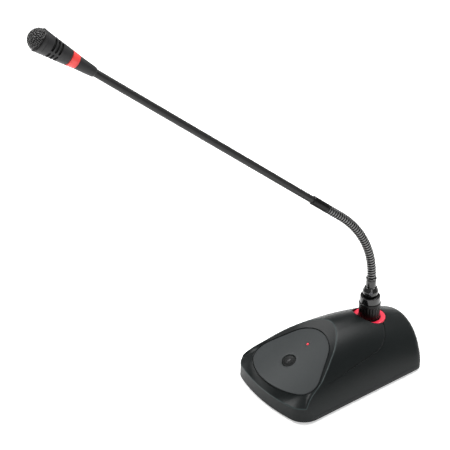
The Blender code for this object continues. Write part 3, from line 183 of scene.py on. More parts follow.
class StageSettings(bpy.types.PropertyGroup):
    turn: angle("Camera turn", 55.4882, "How far right of the front the camera stands")
    rise: angle("Camera rise", 29.346, "How far the camera looks down")
    distance: FloatProperty(name="Distance", description="Camera to aim point", default=1.20496, unit="LENGTH")
    lens: number("Lens", 107.0626, "Focal length in millimetres")
    aim: FloatVectorProperty(
        name="Aim", description="Point in the middle of the view", default=(-0.10637, -0.03723, 0.11719),
        size=3, subtype="TRANSLATION", unit="LENGTH",
    )
    floor: colour("Floor", (0.92, 0.92, 0.915), "Pale floor")


# ---------------------------------------------------------------- geometry tools


def mesh_object(name, verts, faces, smooth=40):
    mesh = bpy.data.meshes.new(name)
    bm = bmesh.new()
    made = [bm.verts.new(v) for v in verts]
    for face in faces:
        bm.faces.new([made[i] for i in face])
    bmesh.ops.recalc_face_normals(bm, faces=bm.faces)
    bm.to_mesh(mesh)
    bm.free()
    shade(mesh, smooth)
    obj = bpy.data.objects.new(name, mesh)
    bpy.context.scene.collection.objects.link(obj)
    return obj


def shade(mesh, smooth=40):
    mesh.shade_smooth()
    mesh.set_sharp_from_angle(angle=math.radians(smooth))


def place(obj, matrix):
    obj.data.transform(matrix)
    return obj


def round_corner(start, corner, end, steps):
    """Points from start to end that round off a corner, with both ends."""
    shares = [k / steps for k in range(steps + 1)]
    return [start * (1 - t) ** 2 + corner * 2 * t * (1 - t) + end * t * t for t in shares]


def eased(points, closed):
    """Rounds the corners of a profile in millimetres. A point may carry its own rounding as a third number."""
    usual, steps, most, least = 0.12, 4, 0.45, 1e-4
    total = len(points)
    out = []
    for i, point in enumerate(points):
        here = Vector(point[:2])
        before = Vector(points[i - 1][:2]) - here
        after = Vector(points[(i + 1) % total][:2]) - here
        size = point[2] if len(point) > 2 else usual
        size = min(size, before.length * most, after.length * most)
        if size < least or (not closed and i in (0, total - 1)):
            out.append(tuple(here))
            continue
        start, end = here + before.normalized() * size, here + after.normalized() * size
        out += [tuple(p) for p in round_corner(start, here, end, steps)]
    return out


def turned_data(profile, segments):
    verts, rings, faces = [], [], []
    for radius, height in profile:
        if radius <= 1e-6:
            rings.append([len(verts)])
            verts.append((0.0, 0.0, height))
            continue
        rings.append(list(range(len(verts), len(verts) + segments)))
        for i in range(segments):
            turn = 2 * math.pi * i / segments
            verts.append((radius * math.cos(turn), radius * math.sin(turn), height))
    pairs = list(zip(rings, rings[1:]))
    if len(rings[0]) > 1:
        pairs.append((rings[-1], rings[0]))
    for a, b in pairs:
        for i in range(segments):
            j = (i + 1) % segments
            if len(a) == 1 and len(b) > 1:
                faces.append((a[0], b[i], b[j]))
            elif len(b) == 1 and len(a) > 1:
                faces.append((a[i], b[0], a[j]))
            elif len(a) > 1:
                faces.append((a[i], b[i], b[j], a[j]))
    return verts, faces


def turned(name, profile, matrix, segments):
    """A turned piece from (radius, height) points in millimetres, with its corners rounded."""
    closed = profile[0][0] > 0
    verts, faces = turned_data([(r * MM, z * MM) for r, z in eased(profile, closed)], segments)
    return place(mesh_object(name, verts, faces), matrix)


def raised(name, outline, low, high, matrix=None):
    """A straight-sided solid over an outline, in metres."""
    n = len(outline)
    verts = [(x, y, low) for x, y in outline] + [(x, y, high) for x, y in outline]
    faces = [tuple(range(n)), tuple(range(n, 2 * n))]
    faces += [(i, (i + 1) % n, n + (i + 1) % n, n + i) for i in range(n)]
    obj = mesh_object(name, verts, faces)
    return place(obj, matrix) if matrix else obj


def disc(radius, sides, x=0.0, y=0.0):
    turns = [2 * math.pi * i / sides for i in range(sides)]
    return [(x + radius * math.cos(t), y + radius * math.sin(t)) for t in turns]


def rounded(half_x, half_y, corner, steps=8):
    """The outline of a rectangle with round corners."""
    outline = []
    for cx, cy, start in ((1, -1, -90), (1, 1, 0), (-1, 1, 90), (-1, -1, 180)):
        for k in range(steps + 1):
            t = math.radians(start + 90 * k / steps)
            x, y = cx * (half_x - corner), cy * (half_y - corner)
            outline.append((x + corner * math.cos(t), y + corner * math.sin(t)))
    return outline


def skin(rings, around, first=0):
    """Faces over rings of points, numbered one ring after another from the first point."""
    faces = []
    for k in range(rings - 1):
        a, b = first + k * around, first + (k + 1) * around
        faces += [(a + i, a + (i + 1) % around, b + (i + 1) % around, b + i) for i in range(around)]
    return faces


def fan(hub, first, around):
    """Faces from one point to a ring of points."""
    return [(hub, first + i, first + (i + 1) % around) for i in range(around)]


def block(name, low, high):
    outline = [(low[0], low[1]), (high[0], low[1]), (high[0], high[1]), (low[0], high[1])]
    return raised(name, outline, low[2], high[2])


def carve(obj, tools, operation="DIFFERENCE", smooth=38):
    """Cuts or joins the tools, one after another, then drops them."""
    for tool in tools:
        step = obj.modifiers.new(tool.name, "BOOLEAN")
        step.operation = operation
        step.solver = "MANIFOLD"
        step.object = tool
    bpy.context.view_layer.update()
    graph = bpy.context.evaluated_depsgraph_get()
    mesh = bpy.data.meshes.new_from_object(obj.evaluated_get(graph))
    obj.modifiers.clear()
    old = obj.data
    obj.data = mesh
    mesh.name = obj.name
    bpy.data.meshes.remove(old)
    for tool in tools:
        bpy.data.objects.remove(tool, do_unlink=True)
    if not len(mesh.polygons):
        raise RuntimeError(f"{obj.name} has nothing left after its cuts")
    shade(mesh, smooth)
    return obj


def tube(name, path, radii, sides):
    """A round solid along a path of points, with a radius at each."""
    verts = []
    side = Vector((0, 0, 1))
    for i, point in enumerate(path):
        ahead = (path[min(i + 1, len(path) - 1)] - path[max(i - 1, 0)]).normalized()
        side = (side - ahead * side.dot(ahead)).normalized()
        across = ahead.cross(side)
        for k in range(sides):
            t = 2 * math.pi * k / sides
            verts.append(tuple(point + (side * math.cos(t) + across * math.sin(t)) * radii[i]))
    ends = [tuple(range(sides)), tuple(range(len(verts) - sides, len(verts)))]
    return mesh_object(name, verts, skin(len(path), sides) + ends)


def finished(obj, material, slot_name, body, *nodes):
    """Gives a piece its material and its body, and hides the frame nodes that it stands for. The slot name is
    not used.
    """
    obj.data.materials.clear()
    obj.data.materials.append(material)
    if nodes:
        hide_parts(*nodes)
    if body:
        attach(obj, body)
    return obj


def store(obj, name, values):
    """Keeps a number for each point of a piece, for its material to read."""
    kept = obj.data.attributes.new(name, "FLOAT", "POINT")
    for i, value in enumerate(values):
        kept.data[i].value = value


def repaint(node, material):
    """A frame node that stays gets a better finish."""
    obj = frame["nodes"][node]
    obj.data.materials.clear()
    obj.data.materials.append(material)


def middle(node):
    points = [v.co for v in frame["nodes"][node].data.vertices]
    return sum(points, Vector()) / len(points)


def box_middle(node):
    low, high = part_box(node)
    return [(a + b) / 2 for a, b in zip(low, high)]


def reach(node, origin, direction):
    """Where a node starts and ends along a direction, in millimetres from the origin."""
    along = [(v.co - origin).dot(direction) for v in frame["nodes"][node].data.vertices]
    return min(along) / MM, max(along) / MM


def joint(name):
    return next(j for j in frame["joints"] if j["name"] == name)


def upright(x, y, z):
    return Matrix.Translation((x, y, z))


def ring_matrix():
    """On the socket's axis, at the top of the light ring."""
    x, y, _ = box_middle("base_light_ring")
    return upright(x, y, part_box("base_light_ring")[1].z)


def arm_matrix():
    """On the arm's axis at its last hinge, with Z along the arm."""
    foot = Vector(joint("neck_bend_4")["pos_m"])
    along = (middle("arm_tube") - foot).normalized()
    side = Vector(joint("neck_bend_4")["axis"])
    turn = Matrix((side, along.cross(side), along)).transposed()
    return upright(*foot) @ turn.to_4x4()


# ---------------------------------------------------------------- shader tools


class Value:
    """An output of a node. Sums on it add Math nodes."""

    def __init__(self, finish, socket):
        self.finish = finish
        self.socket = socket

    def math(self, operation, *others):
        return self.finish.add("ShaderNodeMath", {"operation": operation}, dict(enumerate((self, *others))))

    def __add__(self, other):
        return self.math("ADD", other)

    __radd__ = __add__

    def __mul__(self, other):
        return self.math("MULTIPLY", other)

    __rmul__ = __mul__

    def __sub__(self, other):
        return self.math("SUBTRACT", other)

    def __rsub__(self, other):
        return self.finish.add("ShaderNodeMath", {"operation": "SUBTRACT"}, {0: other, 1: self})

    def limited(self, low, high):
        return self.math("MAXIMUM", low).math("MINIMUM", high)


class Finish:
    """A material with one Principled shader, and one method that adds any other node."""

    def __init__(self, name, **constants):
        self.material = bpy.data.materials.new(name)
        self.material.use_nodes = True
        self.tree = self.material.node_tree
        self.shader = self.tree.nodes["Principled BSDF"]
        for socket, value in constants.items():
            self.shader.inputs[socket.replace("_", " ")].default_value = value
        self.spot = self.add("ShaderNodeTexCoord", output="Object")

    def add(self, kind, settings=None, inputs=None, output=0):
        node = self.tree.nodes.new(kind)
        for name, value in (settings or {}).items():
            if name == "stops":
                self.set_stops(node.color_ramp, value)
            else:
                setattr(node, name, value)
        for key, value in (inputs or {}).items():
            socket = self.find(node.inputs, key)
            if isinstance(value, Value):
                self.tree.links.new(value.socket, socket)
            else:
                socket.default_value = value
        return Value(self, self.find(node.outputs, output))

    def find(self, sockets, key):
        if isinstance(key, int):
            return sockets[key]
        for socket in sockets:
            if socket.identifier == key:
                return socket
        return sockets[key]

    def set_stops(self, ramp, stops):
        while len(ramp.elements) > len(stops):
            ramp.elements.remove(ramp.elements[-1])
        while len(ramp.elements) < len(stops):
            ramp.elements.new(1.0)
        for element, (position, grey) in zip(ramp.elements, stops):
            element.position = position
            element.color = (grey, grey, grey, 1.0)

    def noise(self, size, detail, rough=0.5, vector=None):
        """Noise with features of about this size in millimetres."""
        inputs = {"Vector": vector or self.spot, "Scale": 1 / (size * MM), "Detail": detail, "Roughness": rough}
        return self.add("ShaderNodeTexNoise", {}, inputs)

    def cells(self, size, feature):
        inputs = {"Vector": self.spot, "Scale": 1 / (size * MM)}
        return self.add("ShaderNodeTexVoronoi", {"feature": feature}, inputs)

    def stored(self, name):
        """A number kept on the points of the mesh."""
        return self.add("ShaderNodeAttribute", {"attribute_name": name}, output="Fac")

    def stretched(self, x, y, z):
        return self.add("ShaderNodeVectorMath", {"operation": "MULTIPLY"}, {0: self.spot, 1: (x, y, z)})

    def ramp(self, value, stops):
        return self.add("ShaderNodeValToRGB", {"stops": stops}, {"Fac": value})

    def mixed(self, first, second, share):
        def full(c):
            return c if isinstance(c, Value) else (*c, 1.0)

        inputs = {"Factor_Float": share, "A_Color": full(first), "B_Color": full(second)}
        return self.add("ShaderNodeMix", {"data_type": "RGBA"}, inputs, "Result_Color")

    def feed(self, socket, value):
        self.tree.links.new(value.socket, self.shader.inputs[socket])

    def bump(self, height, distance):
        """Bump from a height of 0 to 1, where 1 stands this many millimetres proud."""
        inputs = {"Height": height, "Distance": distance * MM, "Strength": 1.0}
        self.feed("Normal", self.add("ShaderNodeBump", {}, inputs))


FINISHES = {}


def shared(name):
    """The material of this name, made when it is first asked for."""
    if name not in FINISHES:
        FINISHES[name] = MAKERS[name](bpy.context.scene.mic_finish)
    return FINISHES[name]


def brighter(base, factor):
    return tuple(min(1.0, c * factor) for c in base)


def moulded(name, base, roughness, grain_size, grain_height, gloss=0.3, highlight_lift=1.0):
    """Moulded plastic: fine grain, slow changes of tone, fine dust and, if the lift is above one, a painted
    highlight along the stored rim line.
    """
    finish = Finish(name, Roughness=roughness, Specular_IOR_Level=gloss)
    broad = finish.noise(38, 3)
    grain = finish.noise(grain_size, 2, 0.6)
    pits = finish.cells(grain_size * 1.7, "SMOOTH_F1")
    dust = finish.ramp(finish.noise(0.9, 4, 0.7), [(0.60, 0.0), (0.78, 1.0)])
    tone = finish.mixed(brighter(base, 0.86), brighter(base, 1.14), broad)
    tone = finish.mixed(tone, brighter(base, 1.9), dust * 0.12)
    rough = roughness - 0.05 + broad * 0.06 + grain * 0.05
    # Painted highlight: the stored rim line is lightened by this lift, and made glossier.
    if highlight_lift > 1:
        edge = finish.stored("rubbed")
        tone = finish.mixed(tone, brighter(base, highlight_lift), edge * (0.55 + grain * 0.45))
        rough = rough - edge * 0.12
    finish.feed("Base Color", tone)
    finish.feed("Roughness", rough.limited(0.05, 1.0))
    finish.bump(grain * 0.6 + pits * 0.4, grain_height)
    return finish.material


def lacquered(name, base, roughness, speck, metallic=0.35, coat=0.0):
    """Lacquered metal: a slight ripple, fine specks, and rub marks drawn out along Z."""
    finish = Finish(name, Roughness=roughness, Metallic=metallic, Coat_Weight=coat, Coat_Roughness=0.08)
    peel = finish.noise(1.6, 2)
    fleck = finish.noise(speck, 3, 0.6)
    streaks = finish.noise(2.2, 5, 0.75, finish.stretched(1.0, 1.0, 0.18))
    rub = finish.ramp(streaks, [(0.55, 0.0), (0.70, 1.0)])
    tone = finish.mixed(brighter(base, 0.85), brighter(base, 1.2), fleck)
    tone = finish.mixed(tone, brighter(base, 2.2), rub * 0.14)
    finish.feed("Base Color", tone)
    finish.feed("Roughness", (roughness - 0.04 + peel * 0.05 + rub * 0.10).limited(0.04, 1.0))
    finish.bump(peel * 0.5 + fleck * 0.5, 0.012)
    return finish.material


def winding_metal(name, base):
    """The wound neck: a painted highlight on the crowns, partly standing for lacquer worn lighter there, and
    painted shade in the grooves, which are also dull.
    """
    finish = Finish(name, Roughness=0.3, Metallic=1.0)
    highlight_lift = finish.noise(1.4, 4, 0.7)
    fine = finish.noise(0.35, 3, 0.6)
    high = finish.stored("crown")
    crest = finish.ramp(high, [(0.72, 0.0), (0.97, 1.0)])
    # Painted shade darkens the grooves and a painted highlight lightens the crowns, partly standing for worn
    # lacquer.
    tone = finish.mixed(brighter(base, 0.05), brighter(base, 17.0), crest * (0.6 + highlight_lift * 0.4))
    finish.feed("Base Color", tone)
    finish.feed("Roughness", (0.62 - high * 0.36 + fine * 0.08).limited(0.2, 0.9))
    finish.bump(fine, 0.02)
    return finish.material


def glowing(name, base, strength, warm):
    """Clear red plastic, lit from below by a few lamps: brighter patches, and a fine frosted face."""
    coat = {"Coat_Weight": 0.25, "Coat_Roughness": 0.12}
    finish = Finish(name, Roughness=0.32, IOR=1.49, Emission_Strength=strength, **coat)
    patches = finish.ramp(finish.noise(7.5, 1, 0.4), [(0.32, 0.0), (0.72, 1.0)])
    frost = finish.noise(0.22, 3, 0.7)
    tone = finish.mixed(base, warm, patches * 0.6)
    finish.feed("Base Color", finish.mixed(tone, brighter(base, 0.8), frost * 0.3))
    finish.feed("Emission Color", finish.mixed(brighter(base, 0.75), warm, patches))
    finish.feed("Roughness", 0.26 + frost * 0.14)
    finish.bump(frost, 0.008)
    return finish.material


def plated(name, base, roughness, brushed=0.25):
    """Plated steel with a drawn grain."""
    finish = Finish(name, Roughness=roughness, Metallic=1.0)
    drawn = finish.noise(1.2, 3, 0.6, finish.stretched(1.0, 0.08, 1.0))
    stain = finish.noise(6, 4, 0.6)
    finish.feed("Base Color", finish.mixed(brighter(base, 0.8), brighter(base, 1.15), stain))
    finish.feed("Roughness", (roughness - 0.06 + drawn * brushed).limited(0.08, 1.0))
    finish.bump(drawn, 0.01)
    return finish.material


def rubber(name, base):
    finish = Finish(name, Roughness=0.85)
    crumb = finish.noise(0.4, 4, 0.7)
    bloom = finish.noise(5, 3)
    finish.feed("Base Color", finish.mixed(brighter(base, 0.8), brighter(base, 2.0), bloom * crumb))
    finish.feed("Roughness", 0.78 + crumb * 0.14)
    finish.bump(crumb, 0.05)
    return finish.material


def circuit(name, base):
    """Solder mask with copper runs that show through as a slightly lighter maze."""
    finish = Finish(name, Roughness=0.4, Coat_Weight=0.3)
    runs = finish.cells(2.6, "DISTANCE_TO_EDGE")
    copper = finish.ramp(runs, [(0.05, 1.0), (0.09, 0.0)])
    finish.feed("Base Color", finish.mixed(base, brighter(base, 2.0), copper * 0.8))
    finish.feed("Roughness", 0.36 + finish.noise(3, 3) * 0.12)
    finish.bump(copper, 0.035)
    return finish.material


def foam(name, base):
    finish = Finish(name, Roughness=0.95)
    pores = finish.cells(0.5, "SMOOTH_F1")
    finish.feed("Base Color", finish.mixed(brighter(base, 0.3), brighter(base, 1.6), pores))
    finish.feed("Roughness", 0.88 + pores * 0.1)
    finish.bump(pores, 0.2)
    return finish.material


def floor_finish(name, base):
    finish = Finish(name, Roughness=0.9, Emission_Strength=0.46, Emission_Color=(1.0, 1.0, 1.0, 1.0))
    paper = finish.noise(40, 3)
    finish.feed("Base Color", finish.mixed(brighter(base, 0.995), brighter(base, 1.005), paper))
    finish.feed("Roughness", 0.86 + paper * 0.06)
    return finish.material


MAKERS = {
    # The housing's last number lifts the painted highlight along its recess rim.
    "housing": lambda c: moulded("charcoal spark-textured plastic", c.housing, 0.38, 0.28, 0.030, 0.16, 9.0),
    "plate": lambda c: moulded("grey satin plate plastic", c.plate, 0.46, 0.20, 0.012, 0.16),
    "button": lambda c: moulded("black button plastic", c.button, 0.42, 0.22, 0.008, 0.12),
    "symbol": lambda c: moulded("pale button print", (0.05, 0.05, 0.052), 0.5, 0.2, 0.004),
    "ring": lambda c: glowing("lit red base ring", c.light, 0.24, (0.88, 0.06, 0.10)),
    "head_ring": lambda c: glowing("lit coral head ring", (0.70, 0.034, 0.032), 0.16, (0.86, 0.08, 0.07)),
    "lamp": lambda c: glowing("red lamp lens", (0.70, 0.01, 0.03), 0.5, (0.9, 0.03, 0.06)),
    "gloss": lambda c: lacquered("gloss black lacquer", brighter(c.black_metal, 0.6), 0.13, 0.3, 0.2, 0.5),
    "collar": lambda c: lacquered("satin black lacquer", brighter(c.black_metal, 1.3), 0.30, 0.3, 0.8, 0.05),
    "tube": lambda c: lacquered("satin tube lacquer", c.tube, 0.38, 0.25, 0.4),
    "head": lambda c: moulded("satin head plastic", c.head, 0.38, 0.22, 0.010, 0.3),
    "neck": lambda c: winding_metal("wound black neck", brighter(c.black_metal, 1.3)),
    "wire": lambda c: lacquered("black grille wire", brighter(c.black_metal, 12.0), 0.24, 0.2, 0.8, 0.5),
    "foam": lambda c: foam("black windscreen foam", (0.006, 0.006, 0.006)),
    "steel": lambda c: plated("black plated screw steel", (0.14, 0.14, 0.15), 0.34),
    "weight": lambda c: plated("zinc plated weight", (0.46, 0.46, 0.48), 0.40),
    "gold": lambda c: plated("gold plated contact", (0.80, 0.58, 0.24), 0.26, 0.12),
    "shell": lambda c: lacquered("black connector shell", (0.032, 0.032, 0.034), 0.34, 0.3, 0.6),
    "insert": lambda c: moulded("black insert plastic", (0.018, 0.018, 0.019), 0.48, 0.3, 0.01),
    "cover": lambda c: moulded("black cover plastic", (0.020, 0.020, 0.021), 0.58, 0.35, 0.05),
    "rubber": lambda c: rubber("black foot rubber", (0.014, 0.014, 0.014)),
    "board": lambda c: circuit("green circuit board", (0.015, 0.11, 0.05)),
    "switch": lambda c: moulded("black switch plastic", (0.03, 0.03, 0.03), 0.45, 0.3, 0.01),
    "floor": lambda c: floor_finish("pale studio floor", bpy.context.scene.mic_stage.floor),
}


# ---------------------------------------------------------------- the pieces
# "across" runs from -1 at the housing's left side to 1 at its right side.

HALVINGS = 34  # of a line, to find where it leaves the form
PLATE_MIDDLE = 4 * MM  # along the slope from the button


class Form:
    """The housing's outer form and the recess over its controls, set in from the outside by a wall."""

    def __init__(self, scene, inset=0.0, nose=0.0, chin=True):
        self.h = scene.mic_housing
        self.c = scene.mic_control
        self.inset, self.nose, self.chin = inset, nose, chin
        self.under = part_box("top_housing")[0].z

    def half(self, y):
        h = self.h
        share = (y - h.front_y) / (h.rear_y - h.front_y)
        return h.front_half_width + (h.rear_half_width - h.front_half_width) * share - self.inset

    def pull(self, across, half, radius):
        over = min(radius, max(0.0, abs(across) * half - (half - radius)))
        return radius - math.sqrt(max(0.0, radius**2 - over**2))

    def front(self, across):
        h = self.h
        pull = self.pull(across, h.front_half_width - self.inset, h.front_corner)
        return h.front_y + self.inset + self.nose - h.front_bow * (1 - across**2) + pull

    def rear(self, across):
        h = self.h
        pull = self.pull(across, h.rear_half_width - self.inset, h.rear_corner)
        return h.rear_y - self.inset + h.rear_bow * (1 - across**2) - pull

    def top(self, x, y):
        """Height of the form over a place, before the recess is cut."""
        h = self.h
        across = x / self.half(y)
        crest = h.crest_height - max(0.0, y - h.crest_y) ** 2 / (2 * h.crest_radius)
        share = max(0.0, 1 - abs(across) ** h.arch_power) ** (1 / h.arch_root)
        steepest = 0.9 * h.rear_edge
        over = min(steepest, max(0.0, y - self.rear(across) + h.rear_edge))
        drop = h.rear_edge - math.sqrt(h.rear_edge**2 - over**2)
        return max(h.skirt, self.under + (crest - self.inset - self.under) * share - drop)

    def within(self, x, y):
        across = x / self.half(y)
        return abs(across) <= 1 and self.front(across) <= y <= self.rear(across)

    def holds(self, point):
        return self.within(point.x, point.y) and point.z <= self.top(point.x, point.y)

    def last_inside(self, start, end, steps=48):
        """The last point of a straight line that is still inside the form."""
        low, high = 0.0, 1.0
        for i in range(1, steps + 1):
            if not self.holds(start.lerp(end, i / steps)):
                low, high = (i - 1) / steps, i / steps
                break
        for _ in range(22):  # the first loop has already cut the line into short steps
            mid = (low + high) / 2
            low, high = (mid, high) if self.holds(start.lerp(end, mid)) else (low, mid)
        return start.lerp(end, low)

    def foot(self, centre, through):
        """Where a level line from the centre through a point reaches the outline."""
        beyond = 0.2  # farther than any part of the outline
        ray = Vector((through.x - centre.x, through.y - centre.y, 0)).normalized() * beyond
        low, high = 0.0, 1.0
        for _ in range(HALVINGS):
            mid = (low + high) / 2
            spot = centre + ray * mid
            low, high = (mid, high) if self.within(spot.x, spot.y) else (low, mid)
        return centre + ray * low

    def control_height(self, x, y):
        c = self.c
        return c.button_height + math.tan(c.slope) * (y - c.button_y) - x**2 / (2 * c.crown)

    def on_slope(self, x, along, lift=0.0):
        c = self.c
        y = c.button_y + along * math.cos(c.slope)
        z = self.control_height(x, y) + lift * math.cos(c.slope)
        return Vector((x, y - lift * math.sin(c.slope), z))

    def outline(self, grow, fine=120):
        """The control plate's outline seen square to its slope: (x, along the slope, direction faced)."""
        c = self.c
        front = c.front_radius - c.front_reach
        rear = c.rear_reach - c.rear_radius
        side = math.sin(c.lean) * rear + c.rear_radius - c.corner_radius
        reach = c.front_radius - c.corner_radius
        turn = c.lean - math.acos((side - math.sin(c.lean) * front) / reach)
        corner = (reach * math.cos(turn), front + reach * math.sin(turn))
        arcs = (
            (0, front, c.front_radius, -math.pi / 2, turn),
            (*corner, c.corner_radius, turn, c.lean),
            (0, rear, c.rear_radius, c.lean, math.pi / 2),
        )
        right = []
        for number, (x, y, radius, start, end) in enumerate(arcs):
            turns = [start + (end - start) * i / fine for i in range(fine + 1)]
            arc = [(x + (radius + grow) * math.cos(t), y + (radius + grow) * math.sin(t), t) for t in turns]
            if number == 1:  # its first point is already there
                arc = arc[1:]
            if number == 2:  # the straight side comes before it
                (x0, y0, _), (x1, y1, _) = right[-1], arc[0]
                for i in range(1, fine):
                    right.append((x0 + (x1 - x0) * i / fine, y0 + (y1 - y0) * i / fine, c.lean))
            right += arc
        return right + [(-x, y, math.pi - t) for x, y, t in reversed(right[1:-1])]

    def band_ends(self, sink):
        """For each place round the plate: the sloped band's inner edge, and a point beyond its outer edge."""
        c = self.c
        band, past = 26 * MM, 2.2  # how far the lines run on, so that each one leaves the form
        span, blend = 1.087, 0.75  # how far round from the front the lip goes, and its change to the band
        reach_across = 0.94
        ends = []
        for x, along, turn in self.outline(c.gap + self.inset):
            edge = self.on_slope(x, along, -sink)
            flat = self.on_slope(x + band * math.cos(turn), along + band * math.sin(turn), -sink)
            rise = flat.copy()
            rise.z = edge.z + band * math.tan(c.band_slope)
            off = abs((turn + math.pi / 2 + math.pi) % (2 * math.pi) - math.pi)
            side = min(1.0, off / span)
            lip_across = math.copysign(side, x) * reach_across
            lip_y = self.front(lip_across)
            lip_z = self.h.lip_height + (self.h.lip_corner_height - self.h.lip_height) * side**2
            lip = Vector((lip_across * self.half(lip_y), lip_y, lip_z))
            front = edge + (lip - edge) * past if self.chin else flat
            t = min(1.0, max(0.0, (off - span) / blend))
            ends.append((edge, front.lerp(rise, t * t * (3 - 2 * t)), (x, along)))
        return ends


def resampled(points, number):
    """A path cut into equal steps."""
    places = np.array([tuple(p) for p in points])
    steps = np.linalg.norm(np.diff(places, axis=0), axis=1)
    along = np.concatenate([[0.0], np.cumsum(steps)])
    wanted = np.linspace(0, along[-1], number)
    return [Vector(tuple(np.interp(w, along, places[:, a]) for a in range(3))) for w in wanted]


def chosen(rims, feet, rays):
    """Which of the dense places round the recess become rays: closer together where the outline turns."""
    total = len(rims)
    turn_worth = 12 * MM
    weights = [0.0]
    for i in range(total):
        a, b, c = feet[i - 1], feet[i], feet[(i + 1) % total]
        turn = 0.0
        if (b - a).length > 1e-7 and (c - b).length > 1e-7:
            turn = (b - a).angle(c - b)
        step = (rims[(i + 1) % total] - rims[i]).length + (c - b).length
        weights.append(weights[-1] + step + turn_worth * turn)
    wanted = np.linspace(0, weights[-1], rays, endpoint=False)
    picks = sorted(set(int(i) for i in np.searchsorted(weights, wanted)))
    return [i for i in picks if i < total]


def wall_path(form, rim, foot, floor):
    """From the rim over the top and down the side to the floor."""
    level, steps, least = Vector((rim.x, rim.y, 0)), 220, 0.3 * MM
    path = [rim]
    if (foot - level).length > least:
        for k in range(1, steps + 1):
            spot = level.lerp(foot, math.sin(0.5 * math.pi * k / steps))
            path.append(Vector((spot.x, spot.y, form.top(spot.x, spot.y))))
    path.append(Vector((path[-1].x, path[-1].y, floor)))
    return path


def outer_column(form, centre, edge, rim, seat_edge, path, skin_steps):
    """One line down the outer skin: recess wall, band, rounded rim, side and turned-in foot."""
    band_points, rim_points, fine_step, fewest = 14, 7, 0.1 * MM, 40
    room = sum((b - a).length for a, b in zip(path, path[1:]))
    bend = min(form.h.rim_rounding, 0.45 * (rim - edge).length, 0.3 * room)
    outward = (rim - edge).normalized()
    before = rim + (edge - rim).normalized() * bend
    fine = resampled(path, max(fewest, int(room / fine_step)))
    cut = next(k for k, p in enumerate(fine) if (p - rim).length >= bend)
    nick = 0.25
    column = [edge - (edge - seat_edge).normalized() * nick * MM, edge + outward * nick * MM]
    column += resampled([column[-1], before], band_points)[1:]
    column += round_corner(before, rim, fine[cut], rim_points)[1:]
    column += resampled(fine[cut:], skin_steps)[1:]
    end = column[-1]
    inward = (Vector((centre.x, centre.y, end.z)) - end).normalized()
    for fall, step_in in ((0.35, 0.1), (0.5, 0.4)):
        column.append(end - Vector((0, 0, fall * MM)) + inward * step_in * MM)
    return column


def shell(name, scene, inset=0.0, nose=0.0, rays=330, skin_steps=74):
    """A closed solid of the housing's form, with its recess. The outer one is rounded at the rim."""
    outer = inset == 0
    form = Form(scene, inset, nose, outer)
    seat = form.c.seat + inset
    ends = form.band_ends(0.0 if outer else seat)
    low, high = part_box("top_housing")
    share_back = 0.33  # of the housing's depth, where the lines down its sides spread from
    centre = Vector((0, low.y + share_back * (high.y - low.y), 0))
    rims = [form.last_inside(edge, end) for edge, end, _ in ends]
    feet = [form.foot(centre, rim) for rim in rims]
    floor = form.under + 0.5 * MM if outer else form.under - 1 * MM
    columns = []
    for i in chosen(rims, feet, rays):
        edge, _, (x, along) = ends[i]
        column = []
        for s in (0.3, 0.6, 0.85, 1.0):
            column.append(form.on_slope(x * s, PLATE_MIDDLE + (along - PLATE_MIDDLE) * s, -seat))
        path = wall_path(form, rims[i], feet[i], floor)
        if outer:
            column += outer_column(form, centre, edge, rims[i], column[-1], path, skin_steps)
        else:
            column += resampled([edge, rims[i]], 6)[1:] + resampled(path, skin_steps)[1:]
        columns.append(column)
    depth, total = len(columns[0]), len(columns)
    verts = [tuple(p) for column in columns for p in column]
    faces = []
    for i in range(total):
        a, b = i * depth, (i + 1) % total * depth
        faces += [(a + k, b + k, b + k + 1, a + k + 1) for k in range(depth - 1)]
    for k in (0, depth - 1):
        hub = len(verts)
        spot = sum((column[k] for column in columns), Vector((0, 0, 0))) / total
        verts.append((0.0, spot.y, spot.z))
        faces += [(hub, i * depth + k, (i + 1) % total * depth + k) for i in range(total)]
    return mesh_object(name, verts, faces)


def groove_tool(form, side):
    """A thin round cutter along the styling line, which fades out towards the front."""
    # Across in hundredths of the half width, and Y in millimetres.
    marks = [
        (30.2, 50.5), (36.5, 50.4), (48.9, 47.2), (60.3, 43.3), (67.9, 38.5), (73.7, 32.1),
        (76.6, 22.3), (79.9, 7.6), (82.3, -6.7), (84.5, -20.4), (86.1, -32.1),
    ]
    marks = [Vector((across, y, 0)) for across, y in marks]
    for _ in range(3):
        finer = [marks[0]]
        for a, b in zip(marks, marks[1:]):
            finer += [a.lerp(b, 0.25), a.lerp(b, 0.75)]
        marks = finer + [marks[-1]]
    path, radii = [], []
    for i, mark in enumerate(marks):
        y = mark.y * MM
        x = side * mark.x / 100 * form.half(y)
        share = i / (len(marks) - 1)
        radii.append(form.h.groove_radius * (1 - 0.75 * share**1.6))
        path.append(Vector((x, y, form.top(x, y) - 0.5 * radii[-1])))
    return tube(f"groove_{side}", path, radii, 10)


def control_matrix(scene):
    c = scene.mic_control
    return upright(0, c.button_y, c.button_height) @ Matrix.Rotation(c.slope, 4, "X")


def paint_rim_highlight(obj, line, width):
    """Stores how much painted highlight each point gets: full on the line, and none past this width from it."""
    tree = KDTree(len(line))
    for i, point in enumerate(line):
        tree.insert(point, i)
    tree.balance()
    store(obj, "rubbed", [max(0.0, 1 - tree.find(vertex.co)[2] / width) for vertex in obj.data.vertices])


# What the housing leaves room for, in millimetres.
WELL_RADIUS, WELL_DEPTH, WELL_WALL, PASSAGE_RADIUS = 15.2, 5.3, 2, 11.6
BOSS_RADIUS, BOSS_BORE, BOSS_BORE_TOP = 3.6, 1.8, 15
POST_RADIUS, POST_X, POST_ALONG, POST_LOW, POST_HIGH = 3, 16, 26, -12.2, 12.5
FLANGE_THICKNESS, FLANGE_HALF, BARREL_HOLE, PAD_HALF, PAD_DEPTH = 1.6, 13.3, 11.1, 15, 1.6
BUTTON_PLAY, LAMP_RADIUS = 0.4, 1.4
GAP = 0.3
SKY, BEHIND = 0.07, 0.104  # above and behind the whole base, in metres


